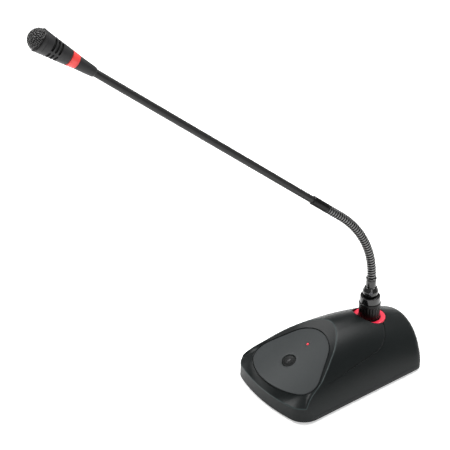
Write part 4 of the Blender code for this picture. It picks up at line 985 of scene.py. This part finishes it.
def kept_inside(form, x, y, floor, flat, slope):
    """What stays solid inside the housing: the well, the connector's pad, the bosses and the board's posts."""
    cover_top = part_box("bottom_cover")[1].z + GAP * MM
    well = disc((WELL_RADIUS + WELL_WALL) * MM, 96, x, y)
    keep = [raised("well_block", well, floor - WELL_WALL * MM, SKY)]
    pad_low = (-PAD_HALF * MM, flat - form.h.wall - PAD_DEPTH * MM, cover_top)
    keep.append(block("output_pad", pad_low, (PAD_HALF * MM, BEHIND, SKY)))
    for i in range(1, 5):
        spot = box_middle(f"cover_screw_{i}")[:2]
        keep.append(raised(f"boss_{i}", disc(BOSS_RADIUS * MM, 32, *spot), cover_top, SKY))
    for side in (-1, 1):
        outline = disc(POST_RADIUS * MM, 32, side * POST_X * MM, POST_ALONG * MM)
        keep.append(raised(f"board_post_{side}", outline, POST_LOW * MM, POST_HIGH * MM, slope))
    return keep


def make_housing(scene):
    form = Form(scene)
    body = shell("housing_shell", scene)
    void = shell("void", scene, form.h.wall, 2 * MM, 150, 30)
    x, y, _ = box_middle("base_light_ring")
    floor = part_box("base_light_ring")[1].z - WELL_DEPTH * MM
    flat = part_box("output_shell")[1].y - FLANGE_THICKNESS * MM - GAP * MM
    slope = control_matrix(scene)
    carve(void, kept_inside(form, x, y, floor, flat, slope))
    middle_x, _, height = box_middle("output_shell")
    half = FLANGE_HALF * MM
    rear_hole = raised("output_hole", disc(BARREL_HOLE * MM, 64), -20 * MM, 20 * MM)
    place(rear_hole, upright(middle_x, flat, height) @ Matrix.Rotation(math.pi / 2, 4, "X"))
    bore = [(0, floor / MM), (WELL_RADIUS, floor / MM), (WELL_RADIUS, 70), (0, 70)]
    button = disc(form.c.button_radius + BUTTON_PLAY * MM, 64)
    lamp = disc(LAMP_RADIUS * MM, 32, 0, form.c.lamp_distance)
    under, over = -7 * MM, 2 * MM  # below and above the control surface
    tools = [
        void,
        turned("well_bore", bore, upright(x, y, 0), 160),
        raised("well_passage", disc(PASSAGE_RADIUS * MM, 96, x, y), floor - 3 * MM, floor + 1 * MM),
        block("output_flat", (middle_x - half, flat, height - half), (middle_x + half, BEHIND, height + half)),
        rear_hole,
        raised("button_hole", button, under, over, slope),
        raised("lamp_hole", lamp, under, over, slope),
        groove_tool(form, 1),
        groove_tool(form, -1),
    ]
    for i in range(1, 5):
        hole = disc(BOSS_BORE * MM, 32, *box_middle(f"cover_screw_{i}")[:2])
        tools.append(raised(f"boss_hole_{i}", hole, form.under - 1 * MM, BOSS_BORE_TOP * MM))
    carve(body, tools)
    rims = [form.last_inside(edge, end) for edge, end, _ in form.band_ends(0.0)]
    # A painted highlight along the recess rim, kept on the points for the housing's material.
    rim_highlight_width, rim_points = 0.9 * MM, 1600
    paint_rim_highlight(body, resampled(rims + rims[:1], rim_points), rim_highlight_width)
    finished(body, shared("housing"), "charcoal_plastic", "base", "top_housing")


def make_plate(scene):
    form = Form(scene)
    edge, thick, bends = form.c.plate_edge, 1.4 * MM, 6

    def ring(grow, lift, share=1.0):
        """The plate's outline, drawn in towards its middle."""
        points = form.outline(grow, 44)
        return [form.on_slope(x * share, PLATE_MIDDLE + (y - PLATE_MIDDLE) * share, lift) for x, y, _ in points]

    rings = [ring(-edge, -thick, share) for share in (0.08, 0.35, 0.7, 1.0)]
    rings += [ring(0, edge - thick)]
    for k in range(bends + 1):
        t = 0.5 * math.pi * k / bends
        rings.append(ring(edge * (math.cos(t) - 1), edge * (math.sin(t) - 1)))
    rings += [ring(-edge, 0, share) for share in (0.97, 0.9, 0.8, 0.7, 0.6, 0.5, 0.4, 0.3, 0.2, 0.1)]
    around = len(rings[0])
    verts = [tuple(p) for r in rings for p in r]
    faces = skin(len(rings), around)
    for first, r in ((0, rings[0]), (len(verts) - around, rings[-1])):
        faces += fan(len(verts), first, around)
        verts.append(tuple(sum(r, Vector((0, 0, 0))) / around))
    plate = mesh_object("control_panel", verts, faces)
    slope = control_matrix(scene)
    hole = form.c.button_radius / MM + BUTTON_PLAY
    mouth = [
        (0, -3), (hole, -3), (hole, -0.45, 0), (hole + 0.15, -0.18, 0), (hole + 0.55, 0.02, 0),
        (hole + 1.6, 0.5, 0), (0, 0.5),
    ]
    lamp = [
        (0, -3), (LAMP_RADIUS, -3), (LAMP_RADIUS, -0.2, 0), (LAMP_RADIUS + 0.35, 0.05, 0),
        (LAMP_RADIUS + 0.8, 0.5, 0), (0, 0.5),
    ]
    lamp_at = slope @ upright(0, form.c.lamp_distance, 0)
    carve(plate, [turned("button_mouth", mouth, slope, 96), turned("lamp_mouth", lamp, lamp_at, 48)])
    finished(plate, shared("plate"), "control_plate_grey", "base", "control_plate")


def make_button(scene):
    slope = control_matrix(scene)
    bottom, top = reach("mic_button", slope.translation, slope.to_3x3() @ Vector((0, 0, 1)))
    radius = scene.mic_control.button_radius / MM
    profile = [
        (0, bottom), (radius + 1.4, bottom), (radius + 1.4, bottom + 1), (radius, bottom + 1, 0.2),
        (radius, top - 0.05, 0.55), (radius - 1.1, top - 0.02, 0.5), (radius * 0.62, top - 0.3, 1.2),
        (0, top - 0.38),
    ]
    button = turned("push_button", profile, slope, 96)
    finished(button, shared("button"), "button_black", "mic_button", "mic_button")
    outer, inner, steps = 1.45 * MM, 1.15 * MM, 24
    arc = [math.pi * (1 + k / steps) for k in range(steps + 1)]
    cradle = [(outer * math.cos(t), outer * math.sin(t)) for t in arc]
    cradle += [(inner * math.cos(t), inner * math.sin(t)) for t in reversed(arc)]
    sunk, proud = (top - 0.62) * MM, (top - 0.16) * MM
    marks = (
        ("capsule_mark", rounded(0.75 * MM, 1.4 * MM, 0.74 * MM), 0.75),
        ("cradle_mark", cradle, 0.35),
        ("stem_mark", rounded(0.15 * MM, 0.55 * MM, 0.1 * MM), -1.6),
        ("foot_mark", rounded(0.85 * MM, 0.15 * MM, 0.12 * MM), -2.2),
    )
    for name, outline, along in marks:
        mark = raised(name, outline, sunk, proud, slope @ upright(0, along * MM, 0))
        finished(mark, shared("symbol"), "button_black", "mic_button")


def make_lamp(scene):
    at = control_matrix(scene) @ upright(0, scene.mic_control.lamp_distance, 0)
    bottom, _ = reach("status_led", at.translation, at.to_3x3() @ Vector((0, 0, 1)))
    dome = [(1.1 * math.cos(t), -0.25 + 0.6 * math.sin(t), 0) for t in np.linspace(0, math.pi / 2, 9)]
    dome[-1] = (0, 0.35)
    profile = [(0, bottom), (1.5, bottom), (1.5, bottom + 1), (1.1, bottom + 1)] + dome
    lamp = turned("status_lamp", profile, at, 48)
    finished(lamp, shared("lamp"), "red_lamp", "base", "status_led")


def make_base_ring():
    profile = [
        (10.4, -1.6), (14.6, -1.6), (14.6, -0.1, 0.45), (12.6, 0.0, 1.2), (10.4, -0.1, 0.4), (10.35, -0.9, 0),
    ]
    ring = turned("base_ring", profile, ring_matrix(), 160)
    finished(ring, shared("ring"), "red_light_ring", "base", "base_light_ring")


def fluted(obj, centre, flutes, depth, low, high):
    """Presses even flutes into a turned piece between two heights, and fades them out at both ends."""
    skin_radius, fade_height, sharpness = 9.0 * MM, 0.5 * MM, 0.55
    for vertex in obj.data.vertices:
        x, y = vertex.co.x - centre.x, vertex.co.y - centre.y
        radius = math.hypot(x, y)
        if radius < skin_radius or not low < vertex.co.z < high:
            continue
        fade = min(1.0, (vertex.co.z - low) / fade_height, (high - vertex.co.z) / fade_height)
        wave = abs(math.cos(math.atan2(y, x) * flutes / 2)) ** sharpness
        keep = 1 - depth * (1 - wave) * math.sqrt(max(0.0, fade)) / radius
        vertex.co.x, vertex.co.y = centre.x + x * keep, centre.y + y * keep
    shade(obj.data, 34)


def make_plug(scene):
    p = scene.mic_plug
    at = ring_matrix()
    neck, bulb = p.neck_radius / MM, p.bulb_radius / MM
    body = [
        (3.1, 24.7), (3.1, 5.3), (7.2, 5.3), (7.2, 0.5), (8.5, -0.5), (8.5, -16), (9.3, -16, 0.3), (9.3, 0),
        (8.0, 0), (8.0, 16.1), (neck, 16.1, 0.2), (neck - 0.5, 21.7, 0.25), (neck - 0.8, 22.2, 0.2),
        (neck - 1.3, 22.1, 0.2), (neck - 1.9, 20.6, 0.2), (bulb - 0.7, 20.6, 0.1),
        (bulb - 0.5, 23.4, 0.8), (bulb, 26.4, 0.8), (bulb - 0.1, 27.5, 0.5), (5.4, 31.2, 0.5), (4.9, 31.5),
        (4.9, 24.7),
    ]
    plug = turned("plug_shell", body, at, 128)
    screw_turn, screw_height = math.radians(-38), 27 * MM
    out = Vector((math.cos(screw_turn), math.sin(screw_turn), 0))
    side = at.translation + Vector((0, 0, screw_height)) + out * (bulb * MM + 0.2 * MM)
    drill = Matrix.Translation(side) @ out.to_track_quat("Z", "Y").to_matrix().to_4x4()
    hole = [(0, -3.4), (1.8, -3.4), (1.8, 0.4), (2.6, 1.4, 0), (0, 1.4)]
    carve(plug, [turned("set_screw_hole", hole, drill, 48)])
    finished(plug, shared("gloss"), "gloss_black_metal", "plug", "plug_body")

    foot, top, rows = 9.5, p.collar_radius / MM, 44
    collar = [(8.35, 0.3), (9.1, 0.3), (foot, 0.8, 0.2)]
    collar += [(foot + (top - foot) * k / rows, 0.9 + 12.2 * k / rows, 0) for k in range(rows + 1)]
    collar += [(top + 0.05, 13.3, 0.1), (top + 0.05, 15.3, 0.4), (top - 0.5, 15.8, 0.3), (8.35, 15.8)]
    ring = turned("collar_grip", collar, at, 320)
    low = at.translation.z + 0.85 * MM
    fluted(ring, at.translation, p.flutes, p.flute_depth, low, low + 12.3 * MM)
    finished(ring, shared("collar"), "collar_black", "lock_collar", "lock_collar")

    repaint("neck_set_screw", shared("steel"))
    ferrule = [
        (0, 25), (4.6, 25), (4.6, 38.2, 0.2), (4.35, 38.5, 0.1), (4.35, 38.8, 0.1), (4.8, 39.1, 0.3),
        (4.8, 40.7, 0.5), (3.4, 40.8, 0.1), (3.4, 36.8), (0, 36.8),
    ]
    sleeve = turned("neck_sleeve", ferrule, at, 96)
    dimple = [(0, -3.4), (1.8, -3.4), (1.8, 1.4), (0, 1.4)]
    carve(sleeve, [turned("dimple", dimple, drill, 48)])
    finished(sleeve, shared("gloss"), "collar_black", "plug", "neck_ferrule")


class Neck:
    """The neck's middle line, from its foot in the ferrule to the arm."""

    def __init__(self, scene):
        n = scene.mic_neck
        self.n = n
        axis = joint("neck_bend_1")["axis"]
        self.forward = Vector((axis[1], -axis[0], 0)).normalized()
        self.side = Vector(axis).normalized()
        x, y, _ = box_middle("neck_ferrule")
        self.foot = Vector((x, y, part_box("neck_ferrule")[1].z + GAP * MM))
        self.length = n.arc_radius * n.bend + n.straight

    def at(self, distance):
        n = self.n
        bent = max(0.0, min(distance / n.arc_radius, n.bend))
        ahead = self.forward * math.sin(bent) + Vector((0, 0, 1)) * math.cos(bent)
        arc = self.forward * (1 - math.cos(bent)) + Vector((0, 0, 1)) * math.sin(bent)
        return self.foot + arc * n.arc_radius + ahead * (distance - bent * n.arc_radius), ahead


def wound(name, neck, start, end):
    """A length of the wound neck: wire laid in a close helix, with its turns in step along the whole neck."""
    n, sides, rows_to_turn = neck.n, 44, 9
    steps = int((end - start) / (n.pitch / rows_to_turn))
    verts, crowns = [], []
    for k in range(steps + 1):
        distance = start + (end - start) * k / steps
        point, ahead = neck.at(distance)
        across = ahead.cross(neck.side)
        for i in range(sides):
            t = 2 * math.pi * i / sides
            phase = (distance / n.pitch - i / sides) % 1.0 * 2 - 1
            crowns.append(math.sqrt(max(0.0, 1 - (0.99 * phase) ** 2)))
            radius = n.radius - n.groove * (1 - crowns[-1])
            verts.append(tuple(point + (neck.side * math.cos(t) + across * math.sin(t)) * radius))
    faces = skin(steps + 1, sides)
    for k, distance in ((0, start), (steps, end)):
        faces += fan(len(verts), k * sides, sides)
        verts.append(tuple(neck.at(distance)[0]))
    piece = mesh_object(name, verts, faces, 80)
    # The crown heights also drive the neck's painted highlight and painted groove shade.
    store(piece, "crown", crowns)
    return piece


def make_neck(scene):
    neck = Neck(scene)
    hinges = len(CHAIN) - 1
    link = neck.length / hinges
    tuck, lap = 3.5 * MM, 0.6 * MM
    for k in range(hinges):
        first, last = k == 0, k == hinges - 1
        start, end = link * k - (tuck if first else 0), link * (k + 1) + (tuck if last else 0)
        piece = wound(f"neck_winding_{k + 1}", neck, start, end)
        nodes = ["flex_root" if first else f"flex_segment_{k}"] + ["flex_tip"] * last
        finished(piece, shared("neck"), "neck_black", None, *nodes)
        low, high = neck.at(link * k + lap)[0], neck.at(link * (k + 1) - lap)[0]
        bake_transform(piece)


def arm_stations():
    """The arm's axis, and where its ferrule and its head start along it in millimetres."""
    at = arm_matrix()
    origin, along = at.translation, at.to_3x3() @ Vector((0, 0, 1))
    ferrule = reach("tube_ferrule", origin, along)
    cone = reach("head_cone", origin, along)
    return at, ferrule[0] - GAP, cone[0]


def make_arm(scene):
    tube_radius = scene.mic_head.tube_radius / MM
    at, foot, head = arm_stations()
    foot_at = at @ upright(0, 0, foot * MM)
    ferrule = [
        (2.6, 4.3), (3.4, 4.3), (3.4, 0.3), (3.75, 0.3, 0.15), (4.0, 0.8, 0.2), (4.0, 2.2, 0.1),
        (3.84, 2.4, 0.08), (3.84, 2.75, 0.08), (4.0, 2.95, 0.1), (4.0, 18.6, 0.3),
        (tube_radius + 0.35, 19.5, 0.2), (tube_radius + 0.3, 11.8), (2.6, 11.5),
    ]
    piece = turned("arm_ferrule", ferrule, foot_at, 96)
    finished(piece, shared("collar"), "collar_black", "arm", "tube_ferrule")
    in_ferrule, in_head, rows = 11.8, 7.7, 40
    start, end = in_ferrule, head - foot + in_head
    steps = [(tube_radius, start + (end - start) * k / rows, 0) for k in range(rows + 1)]
    piece = turned("arm_stem", [(2.6, start)] + steps + [(2.6, end)], foot_at, 80)
    finished(piece, shared("tube"), "tube_black", "arm", "arm_tube")


def head_place():
    at, _, head = arm_stations()
    return at @ upright(0, 0, head * MM)


def make_head(scene):
    s = scene.mic_head
    at = head_place()
    foot, ring0, ring1, rim = (v / MM for v in (s.cone_foot, s.ring_start, s.ring_end, s.rim_radius))
    tube_hole = s.tube_radius / MM + GAP
    cone = [
        (2, 8), (tube_hole, 8), (tube_hole, 0), (foot - 0.3, 0, 0.1), (foot, 0.5, 0.3),
        (foot + 0.5, 5.2, 2.0), (ring0 - 0.2, 16.4, 0.25), (4.2, 16.4), (4.2, 22.6), (2, 22.6),
    ]
    finished(turned("head_taper", cone, at, 96), shared("head"), "head_black", "arm", "head_cone")
    light = [(4.5, 16.7), (ring0, 16.7, 0.3), (ring1, 23.6, 0.3), (4.5, 23.6)]
    ring = turned("head_ring", light, at, 128)
    finished(ring, shared("head_ring"), "red_light_ring", "arm", "head_light_ring")

    case_foot, case_top, wall = 23.9, 50.3, 1.3

    def wide(distance):
        """Radius of the case at a distance up the head."""
        return ring1 + (rim - ring1) * (distance - case_foot) / (case_top - case_foot)

    case = [
        (2, 24.2), (wide(24.2), 24.2, 0.25), (wide(47.2), 47.2, 0.05), (wide(47.2) - 0.12, 47.35, 0.05),
        (wide(47.2) - 0.12, 47.65, 0.05), (wide(47.8), 47.8, 0.05), (rim, case_top, 0.35),
        (rim - 0.6, case_top, 0.15), (8.75, case_top), (wide(47.7) - wall, 49.9), (wide(27.2) - wall, 27.2),
        (2, 27.2),
    ]
    housing = turned("capsule_case", case, at, 160)
    turns = [2 * math.pi * (group + 0.5) / s.slots + s.slot_turn for group in range(s.slots)]
    carve(housing, [slot_tool(row, turn, at) for row in range(3) for turn in turns], smooth=30)
    finished(housing, shared("head"), "head_black", "arm", "capsule_housing")
    low, high, outside, inside = 29.5, 40.8, wall + 0.15, wall + 0.7
    liner = [(wide(low) - inside, low), (wide(low) - outside, low), (wide(high) - outside, high)]
    liner.append((wide(high) - inside, high))
    finished(turned("slot_liner", liner, at, 96), shared("foam"), "foot_rubber", "arm")


def slot_tool(row, turn, at):
    """A cutter for one slot, square across the head, with rounded ends."""
    half_high, half_turn, steps = 0.95, math.radians(40.5), 20
    first_row, row_pitch = 34.3, 3.25
    inside, outside, skin_radius, bluntest = 4.6, 13.0, 8.0, 0.06
    level = first_row + row_pitch * row
    verts = []
    for k in range(steps + 1):
        t = turn - half_turn + 2 * half_turn * k / steps
        from_end = min(k, steps - k) / steps * 2 * half_turn * skin_radius
        high = half_high * math.sqrt(max(bluntest, 1 - max(0.0, 1 - from_end / half_high) ** 2))
        for radius, z in ((inside, -high), (inside, high), (outside, high), (outside, -high)):
            verts.append((radius * MM * math.cos(t), radius * MM * math.sin(t), (level + z) * MM))
    last = 4 * steps
    ends = [(0, 1, 2, 3), (last, last + 3, last + 2, last + 1)]
    return place(mesh_object("slot_tool", verts, skin(steps + 1, 4) + ends), at)


def on_dome(base, radius, u, v, lift):
    """A place on the grille's dome from its distances along the dome from the tip, in millimetres."""
    arc = math.hypot(u, v)
    if arc < 1e-9:
        return Vector((0, 0, base + radius + lift))
    tilt = arc / radius
    out = (radius + lift) * math.sin(tilt) / arc
    return Vector((u * out, v * out, base + (radius + lift) * math.cos(tilt)))


def make_grille(scene):
    """Woven wire over the capsule: two sets of wires that pass over and under each other on a dome."""
    s = scene.mic_head
    at = head_place()
    base, pitch, shortest, sides, rows_to_pitch = 50.6, 1.75, 1.5, 6, 5
    wire = s.wire / MM / 2
    radius = s.dome_radius / MM - 2 * wire
    edge = radius * math.pi / 2
    turns = [2 * math.pi * i / sides for i in range(sides)]
    verts, faces = [], []
    lines = int(edge / pitch)
    for family in (0, 1):
        for line in range(-lines, lines + 1):
            fixed = line * pitch
            half = math.sqrt(max(0.0, edge**2 - fixed**2))
            if half < shortest:
                continue
            steps = int(2 * half / (pitch / rows_to_pitch))
            path = []
            for k in range(steps + 1):
                v = -half + 2 * half * k / steps
                lift = wire * math.cos(math.pi * (v / pitch + line + family))
                path.append(on_dome(base, radius, *((fixed, v) if family else (v, fixed)), lift))
            first = len(verts)
            for k, point in enumerate(path):
                ahead = (path[min(k + 1, steps)] - path[max(k - 1, 0)]).normalized()
                out = (point - Vector((0, 0, base))).normalized()
                across = ahead.cross(out).normalized()
                out = across.cross(ahead)
                for t in turns:
                    verts.append(tuple((point + (across * math.cos(t) + out * math.sin(t)) * wire) * MM))
            faces += skin(steps + 1, sides, first)
            faces.append(tuple(reversed(range(first, first + sides))))
            faces.append(tuple(range(len(verts) - sides, len(verts))))
    mesh = place(mesh_object("grille_weave", verts, faces, 70), at)
    finished(mesh, shared("wire"), "grille_black", "arm", "mesh_grille")
    lip = [(8.75, 50.45, 0.1), (9.65, 50.45, 0.2), (9.75, 51.3, 0.4), (8.95, 51.6, 0.2)]
    finished(turned("grille_lip", lip, at, 128), shared("collar"), "grille_black", "arm")
    outside, inside = radius - 2.2 * wire, radius - 1.0
    turns = np.linspace(0, math.pi / 2, 25)[:-1]
    dome = [(outside * math.cos(t), base + outside * math.sin(t), 0) for t in turns]
    under = [(inside * math.cos(t), base + inside * math.sin(t), 0) for t in turns]
    profile = [(0, base + inside)] + under[::-1] + dome + [(0, base + outside)]
    finished(turned("grille_foam", profile, at, 72), shared("foam"), "grille_black", "arm")


def make_connector():
    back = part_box("output_shell")[1].y
    x, _, z = box_middle("output_shell")
    at = upright(x, back, z) @ Matrix.Rotation(-math.pi / 2, 4, "X")
    half, corner = 13, 2.6
    verts = []
    for inset, level in ((0.3, -1.6), (0, -1.35), (0, -0.45), (0.12, -0.15), (0.4, 0)):
        ring = rounded(half - inset, half - inset, corner - inset)
        verts += [(x * MM, y * MM, level * MM) for x, y in ring]
    around = len(ring)
    ends = [tuple(range(around)), tuple(range(len(verts) - around, len(verts)))]
    flange = place(mesh_object("output_flange", verts, ends + skin(len(verts) // around, around)), at)
    barrel = turned("barrel", [(0, -14.5), (10.8, -14.5), (10.8, -0.8), (0, -0.8)], at, 96)
    carve(flange, [barrel], "UNION")
    bore = [(0, -16), (9.3, -16), (9.3, -1.2, 0), (9.5, -0.9, 0), (10.1, -0.45, 0), (10.7, 1, 0), (0, 1)]
    tools = [turned("bore", bore, at, 128)]
    for i in (1, 2):
        x, _, z = box_middle(f"output_screw_{i}")
        local = at.inverted() @ Vector((x, back, z))
        hole = [(0, -3), (1.8, -3), (1.8, -0.3, 0), (2.3, 0.3, 0), (0, 0.3)]
        tools.append(turned(f"flange_hole_{i}", hole, at @ upright(local.x, local.y, 0), 48))
    carve(flange, tools)
    finished(flange, shared("shell"), "socket_metal", "base", "output_shell")
    repaint("output_insert", shared("insert"))
    for i in range(1, 4):
        repaint(f"output_pin_{i}", shared("gold"))
    for i in (1, 2):
        repaint(f"output_screw_{i}", shared("steel"))


def make_feet():
    for i in range(1, 5):
        low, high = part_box(f"foot_{i}")
        x, y, _ = box_middle(f"foot_{i}")
        radius, tall = (high.x - low.x) / 2 / MM, (high.z - low.z) / MM
        profile = [
            (0, 0.35), (1.4, 0.35, 0.4), (2.4, 0.0, 0.5), (radius - 0.1, 0, 0.5), (radius, tall - 0.2, 0.2),
            (0, tall),
        ]
        foot = turned(f"rubber_foot_{i}", profile, upright(x, y, low.z), 72)
        finished(foot, shared("rubber"), "foot_rubber", "base", f"foot_{i}")


INNER = {
    "cover": ["bottom_cover"],
    "weight": ["ballast_plate"],
    "steel": [f"cover_screw_{i}" for i in range(1, 5)] + ["board_screw_1", "board_screw_2", "capsule"],
    "board": ["main_board", "ring_board"],
    "switch": ["tact_switch"],
    "shell": ["neck_socket", "socket_nut"],
    "insert": ["socket_insert", "plug_insert"],
    "gold": [f"socket_contact_{i}" for i in range(1, 4)] + [f"plug_pin_{i}" for i in range(1, 4)],
    "rubber": ["capsule_holder"],
}


def make_inner():
    for finish, nodes in INNER.items():
        for node in nodes:
            repaint(node, shared(finish))


def area_light(name, spot, size, power):
    """A rectangular light that faces the middle of the piece."""
    light = bpy.data.lights.new(name, "AREA")
    light.shape = "RECTANGLE"
    light.size, light.size_y = size
    light.energy = power
    obj = bpy.data.objects.new(name, light)
    bpy.context.scene.collection.objects.link(obj)
    obj.location = spot
    faced = Vector((0, 0, 0.1))
    obj.rotation_euler = (faced - Vector(spot)).to_track_quat("-Z", "Y").to_euler()


def make_floor():
    radii, sides = (0.3, 0.6, 1.0, 1.6, 2.4, 3.4), 64
    verts = [(0, 0, 0)]
    for radius in radii:
        verts += [(x, y, 0) for x, y in disc(radius, sides)]
    floor = mesh_object("studio_floor", verts, fan(0, 1, sides) + skin(len(radii), sides, 1))
    floor.data.materials.append(shared("floor"))


def make_camera(scene):
    s = scene.mic_stage
    turn, rise = s.turn, s.rise
    out = Vector((math.sin(turn) * math.cos(rise), -math.cos(turn) * math.cos(rise), math.sin(rise)))
    right = Vector((math.cos(turn), math.sin(turn), 0))
    camera = bpy.data.cameras.new("camera")
    camera.lens = s.lens
    camera.sensor_width = 36
    camera.clip_start, camera.clip_end = 0.05, 20
    obj = bpy.data.objects.new("camera", camera)
    scene.collection.objects.link(obj)
    obj.location = Vector(s.aim) + out * s.distance
    obj.rotation_euler = Matrix((right, out.cross(right), out)).transposed().to_euler()
    scene.camera = obj


def make_stage(scene):
    make_floor()
    world = bpy.data.worlds.new("studio light")
    scene.world = world
    world.use_nodes = True
    back = world.node_tree.nodes["Background"]
    back.inputs["Color"].default_value = (1.0, 1.0, 1.0, 1.0)
    back.inputs["Strength"].default_value = 0.30
    area_light("key_light", (-1.0, -0.7, 1.5), (0.7, 0.7), 22)
    area_light("top_light", (-0.1, 0.9, 1.7), (1.2, 0.8), 34)
    area_light("fill_light", (1.5, -0.6, 0.9), (0.7, 0.7), 4)
    scene.view_settings.view_transform = "Standard"
    make_camera(scene)


# ---------------------------------------------------------------- operators and panel


class MIC_OT_housing(bpy.types.Operator):
    """Make the arched housing with its control recess, socket well and styling groove"""

    bl_idname = "mic.housing"
    bl_label = "Housing"

    def execute(self, context):
        make_housing(context.scene)
        return {"FINISHED"}


class MIC_OT_plate(bpy.types.Operator):
    """Make the control plate on the sloped front"""

    bl_idname = "mic.plate"
    bl_label = "Control plate"

    def execute(self, context):
        make_plate(context.scene)
        return {"FINISHED"}


class MIC_OT_button(bpy.types.Operator):
    """Make the push button and its raised symbol"""

    bl_idname = "mic.button"
    bl_label = "Button"

    def execute(self, context):
        make_button(context.scene)
        return {"FINISHED"}


class MIC_OT_lamp(bpy.types.Operator):
    """Make the small red lamp above the button"""

    bl_idname = "mic.lamp"
    bl_label = "Lamp"

    def execute(self, context):
        make_lamp(context.scene)
        return {"FINISHED"}


class MIC_OT_base_ring(bpy.types.Operator):
    """Make the lit ring round the socket"""

    bl_idname = "mic.base_ring"
    bl_label = "Base ring"

    def execute(self, context):
        make_base_ring()
        return {"FINISHED"}


class MIC_OT_plug(bpy.types.Operator):
    """Make the plug, its fluted collar and the neck's sleeve"""

    bl_idname = "mic.plug"
    bl_label = "Plug"

    def execute(self, context):
        make_plug(context.scene)
        return {"FINISHED"}


class MIC_OT_neck(bpy.types.Operator):
    """Make the wound flexible neck, one length for each hinge"""

    bl_idname = "mic.neck"
    bl_label = "Neck"

    def execute(self, context):
        make_neck(context.scene)
        return {"FINISHED"}


class MIC_OT_arm(bpy.types.Operator):
    """Make the arm's ferrule and its long tube"""

    bl_idname = "mic.arm"
    bl_label = "Arm"

    def execute(self, context):
        make_arm(context.scene)
        return {"FINISHED"}


class MIC_OT_head(bpy.types.Operator):
    """Make the head's taper, lit ring and slotted capsule case"""

    bl_idname = "mic.head"
    bl_label = "Head"

    def execute(self, context):
        make_head(context.scene)
        return {"FINISHED"}


class MIC_OT_grille(bpy.types.Operator):
    """Make the woven wire grille over the capsule"""

    bl_idname = "mic.grille"
    bl_label = "Grille"

    def execute(self, context):
        make_grille(context.scene)
        return {"FINISHED"}


class MIC_OT_connector(bpy.types.Operator):
    """Make the rear connector's flange and finish its inner pieces"""

    bl_idname = "mic.connector"
    bl_label = "Rear connector"

    def execute(self, context):
        make_connector()
        return {"FINISHED"}


class MIC_OT_feet(bpy.types.Operator):
    """Make the four rubber feet"""

    bl_idname = "mic.feet"
    bl_label = "Feet"

    def execute(self, context):
        make_feet()
        return {"FINISHED"}


class MIC_OT_inner(bpy.types.Operator):
    """Give the hidden pieces and the underside their finishes"""

    bl_idname = "mic.inner"
    bl_label = "Inner pieces"

    def execute(self, context):
        make_inner()
        return {"FINISHED"}


class MIC_OT_stage(bpy.types.Operator):
    """Make the floor, the lights and the camera"""

    bl_idname = "mic.stage"
    bl_label = "Stage"

    def execute(self, context):
        make_stage(context.scene)
        return {"FINISHED"}


OPERATORS = (
    MIC_OT_housing,
    MIC_OT_plate,
    MIC_OT_button,
    MIC_OT_lamp,
    MIC_OT_base_ring,
    MIC_OT_plug,
    MIC_OT_neck,
    MIC_OT_arm,
    MIC_OT_head,
    MIC_OT_grille,
    MIC_OT_connector,
    MIC_OT_feet,
    MIC_OT_inner,
    MIC_OT_stage,
)
SETTINGS = {
    "mic_housing": HousingSettings,
    "mic_control": ControlSettings,
    "mic_plug": PlugSettings,
    "mic_neck": NeckSettings,
    "mic_head": HeadSettings,
    "mic_finish": FinishSettings,
    "mic_stage": StageSettings,
}


class MIC_PT_pieces(bpy.types.Panel):
    """Lists the microphone's pieces in the order that they are made"""

    bl_idname = "MIC_PT_pieces"
    bl_label = "Gooseneck microphone"
    bl_space_type = "VIEW_3D"
    bl_region_type = "UI"
    bl_category = "Microphone"

    def draw(self, context):
        for made in OPERATORS:
            self.layout.operator(made.bl_idname)


def register():
    for group in SETTINGS.values():
        bpy.utils.register_class(group)
    for made in (*OPERATORS, MIC_PT_pieces):
        bpy.utils.register_class(made)
    for name, group in SETTINGS.items():
        setattr(bpy.types.Scene, name, PointerProperty(type=group))


def unregister():
    for name in SETTINGS:
        delattr(bpy.types.Scene, name)
    for made in reversed((*SETTINGS.values(), *OPERATORS, MIC_PT_pieces)):
        bpy.utils.unregister_class(made)


def main():
    register()
    for made in OPERATORS:
        group, name = made.bl_idname.split(".")
        getattr(getattr(bpy.ops, group), name)()


if __name__ == "__main__":
    main()
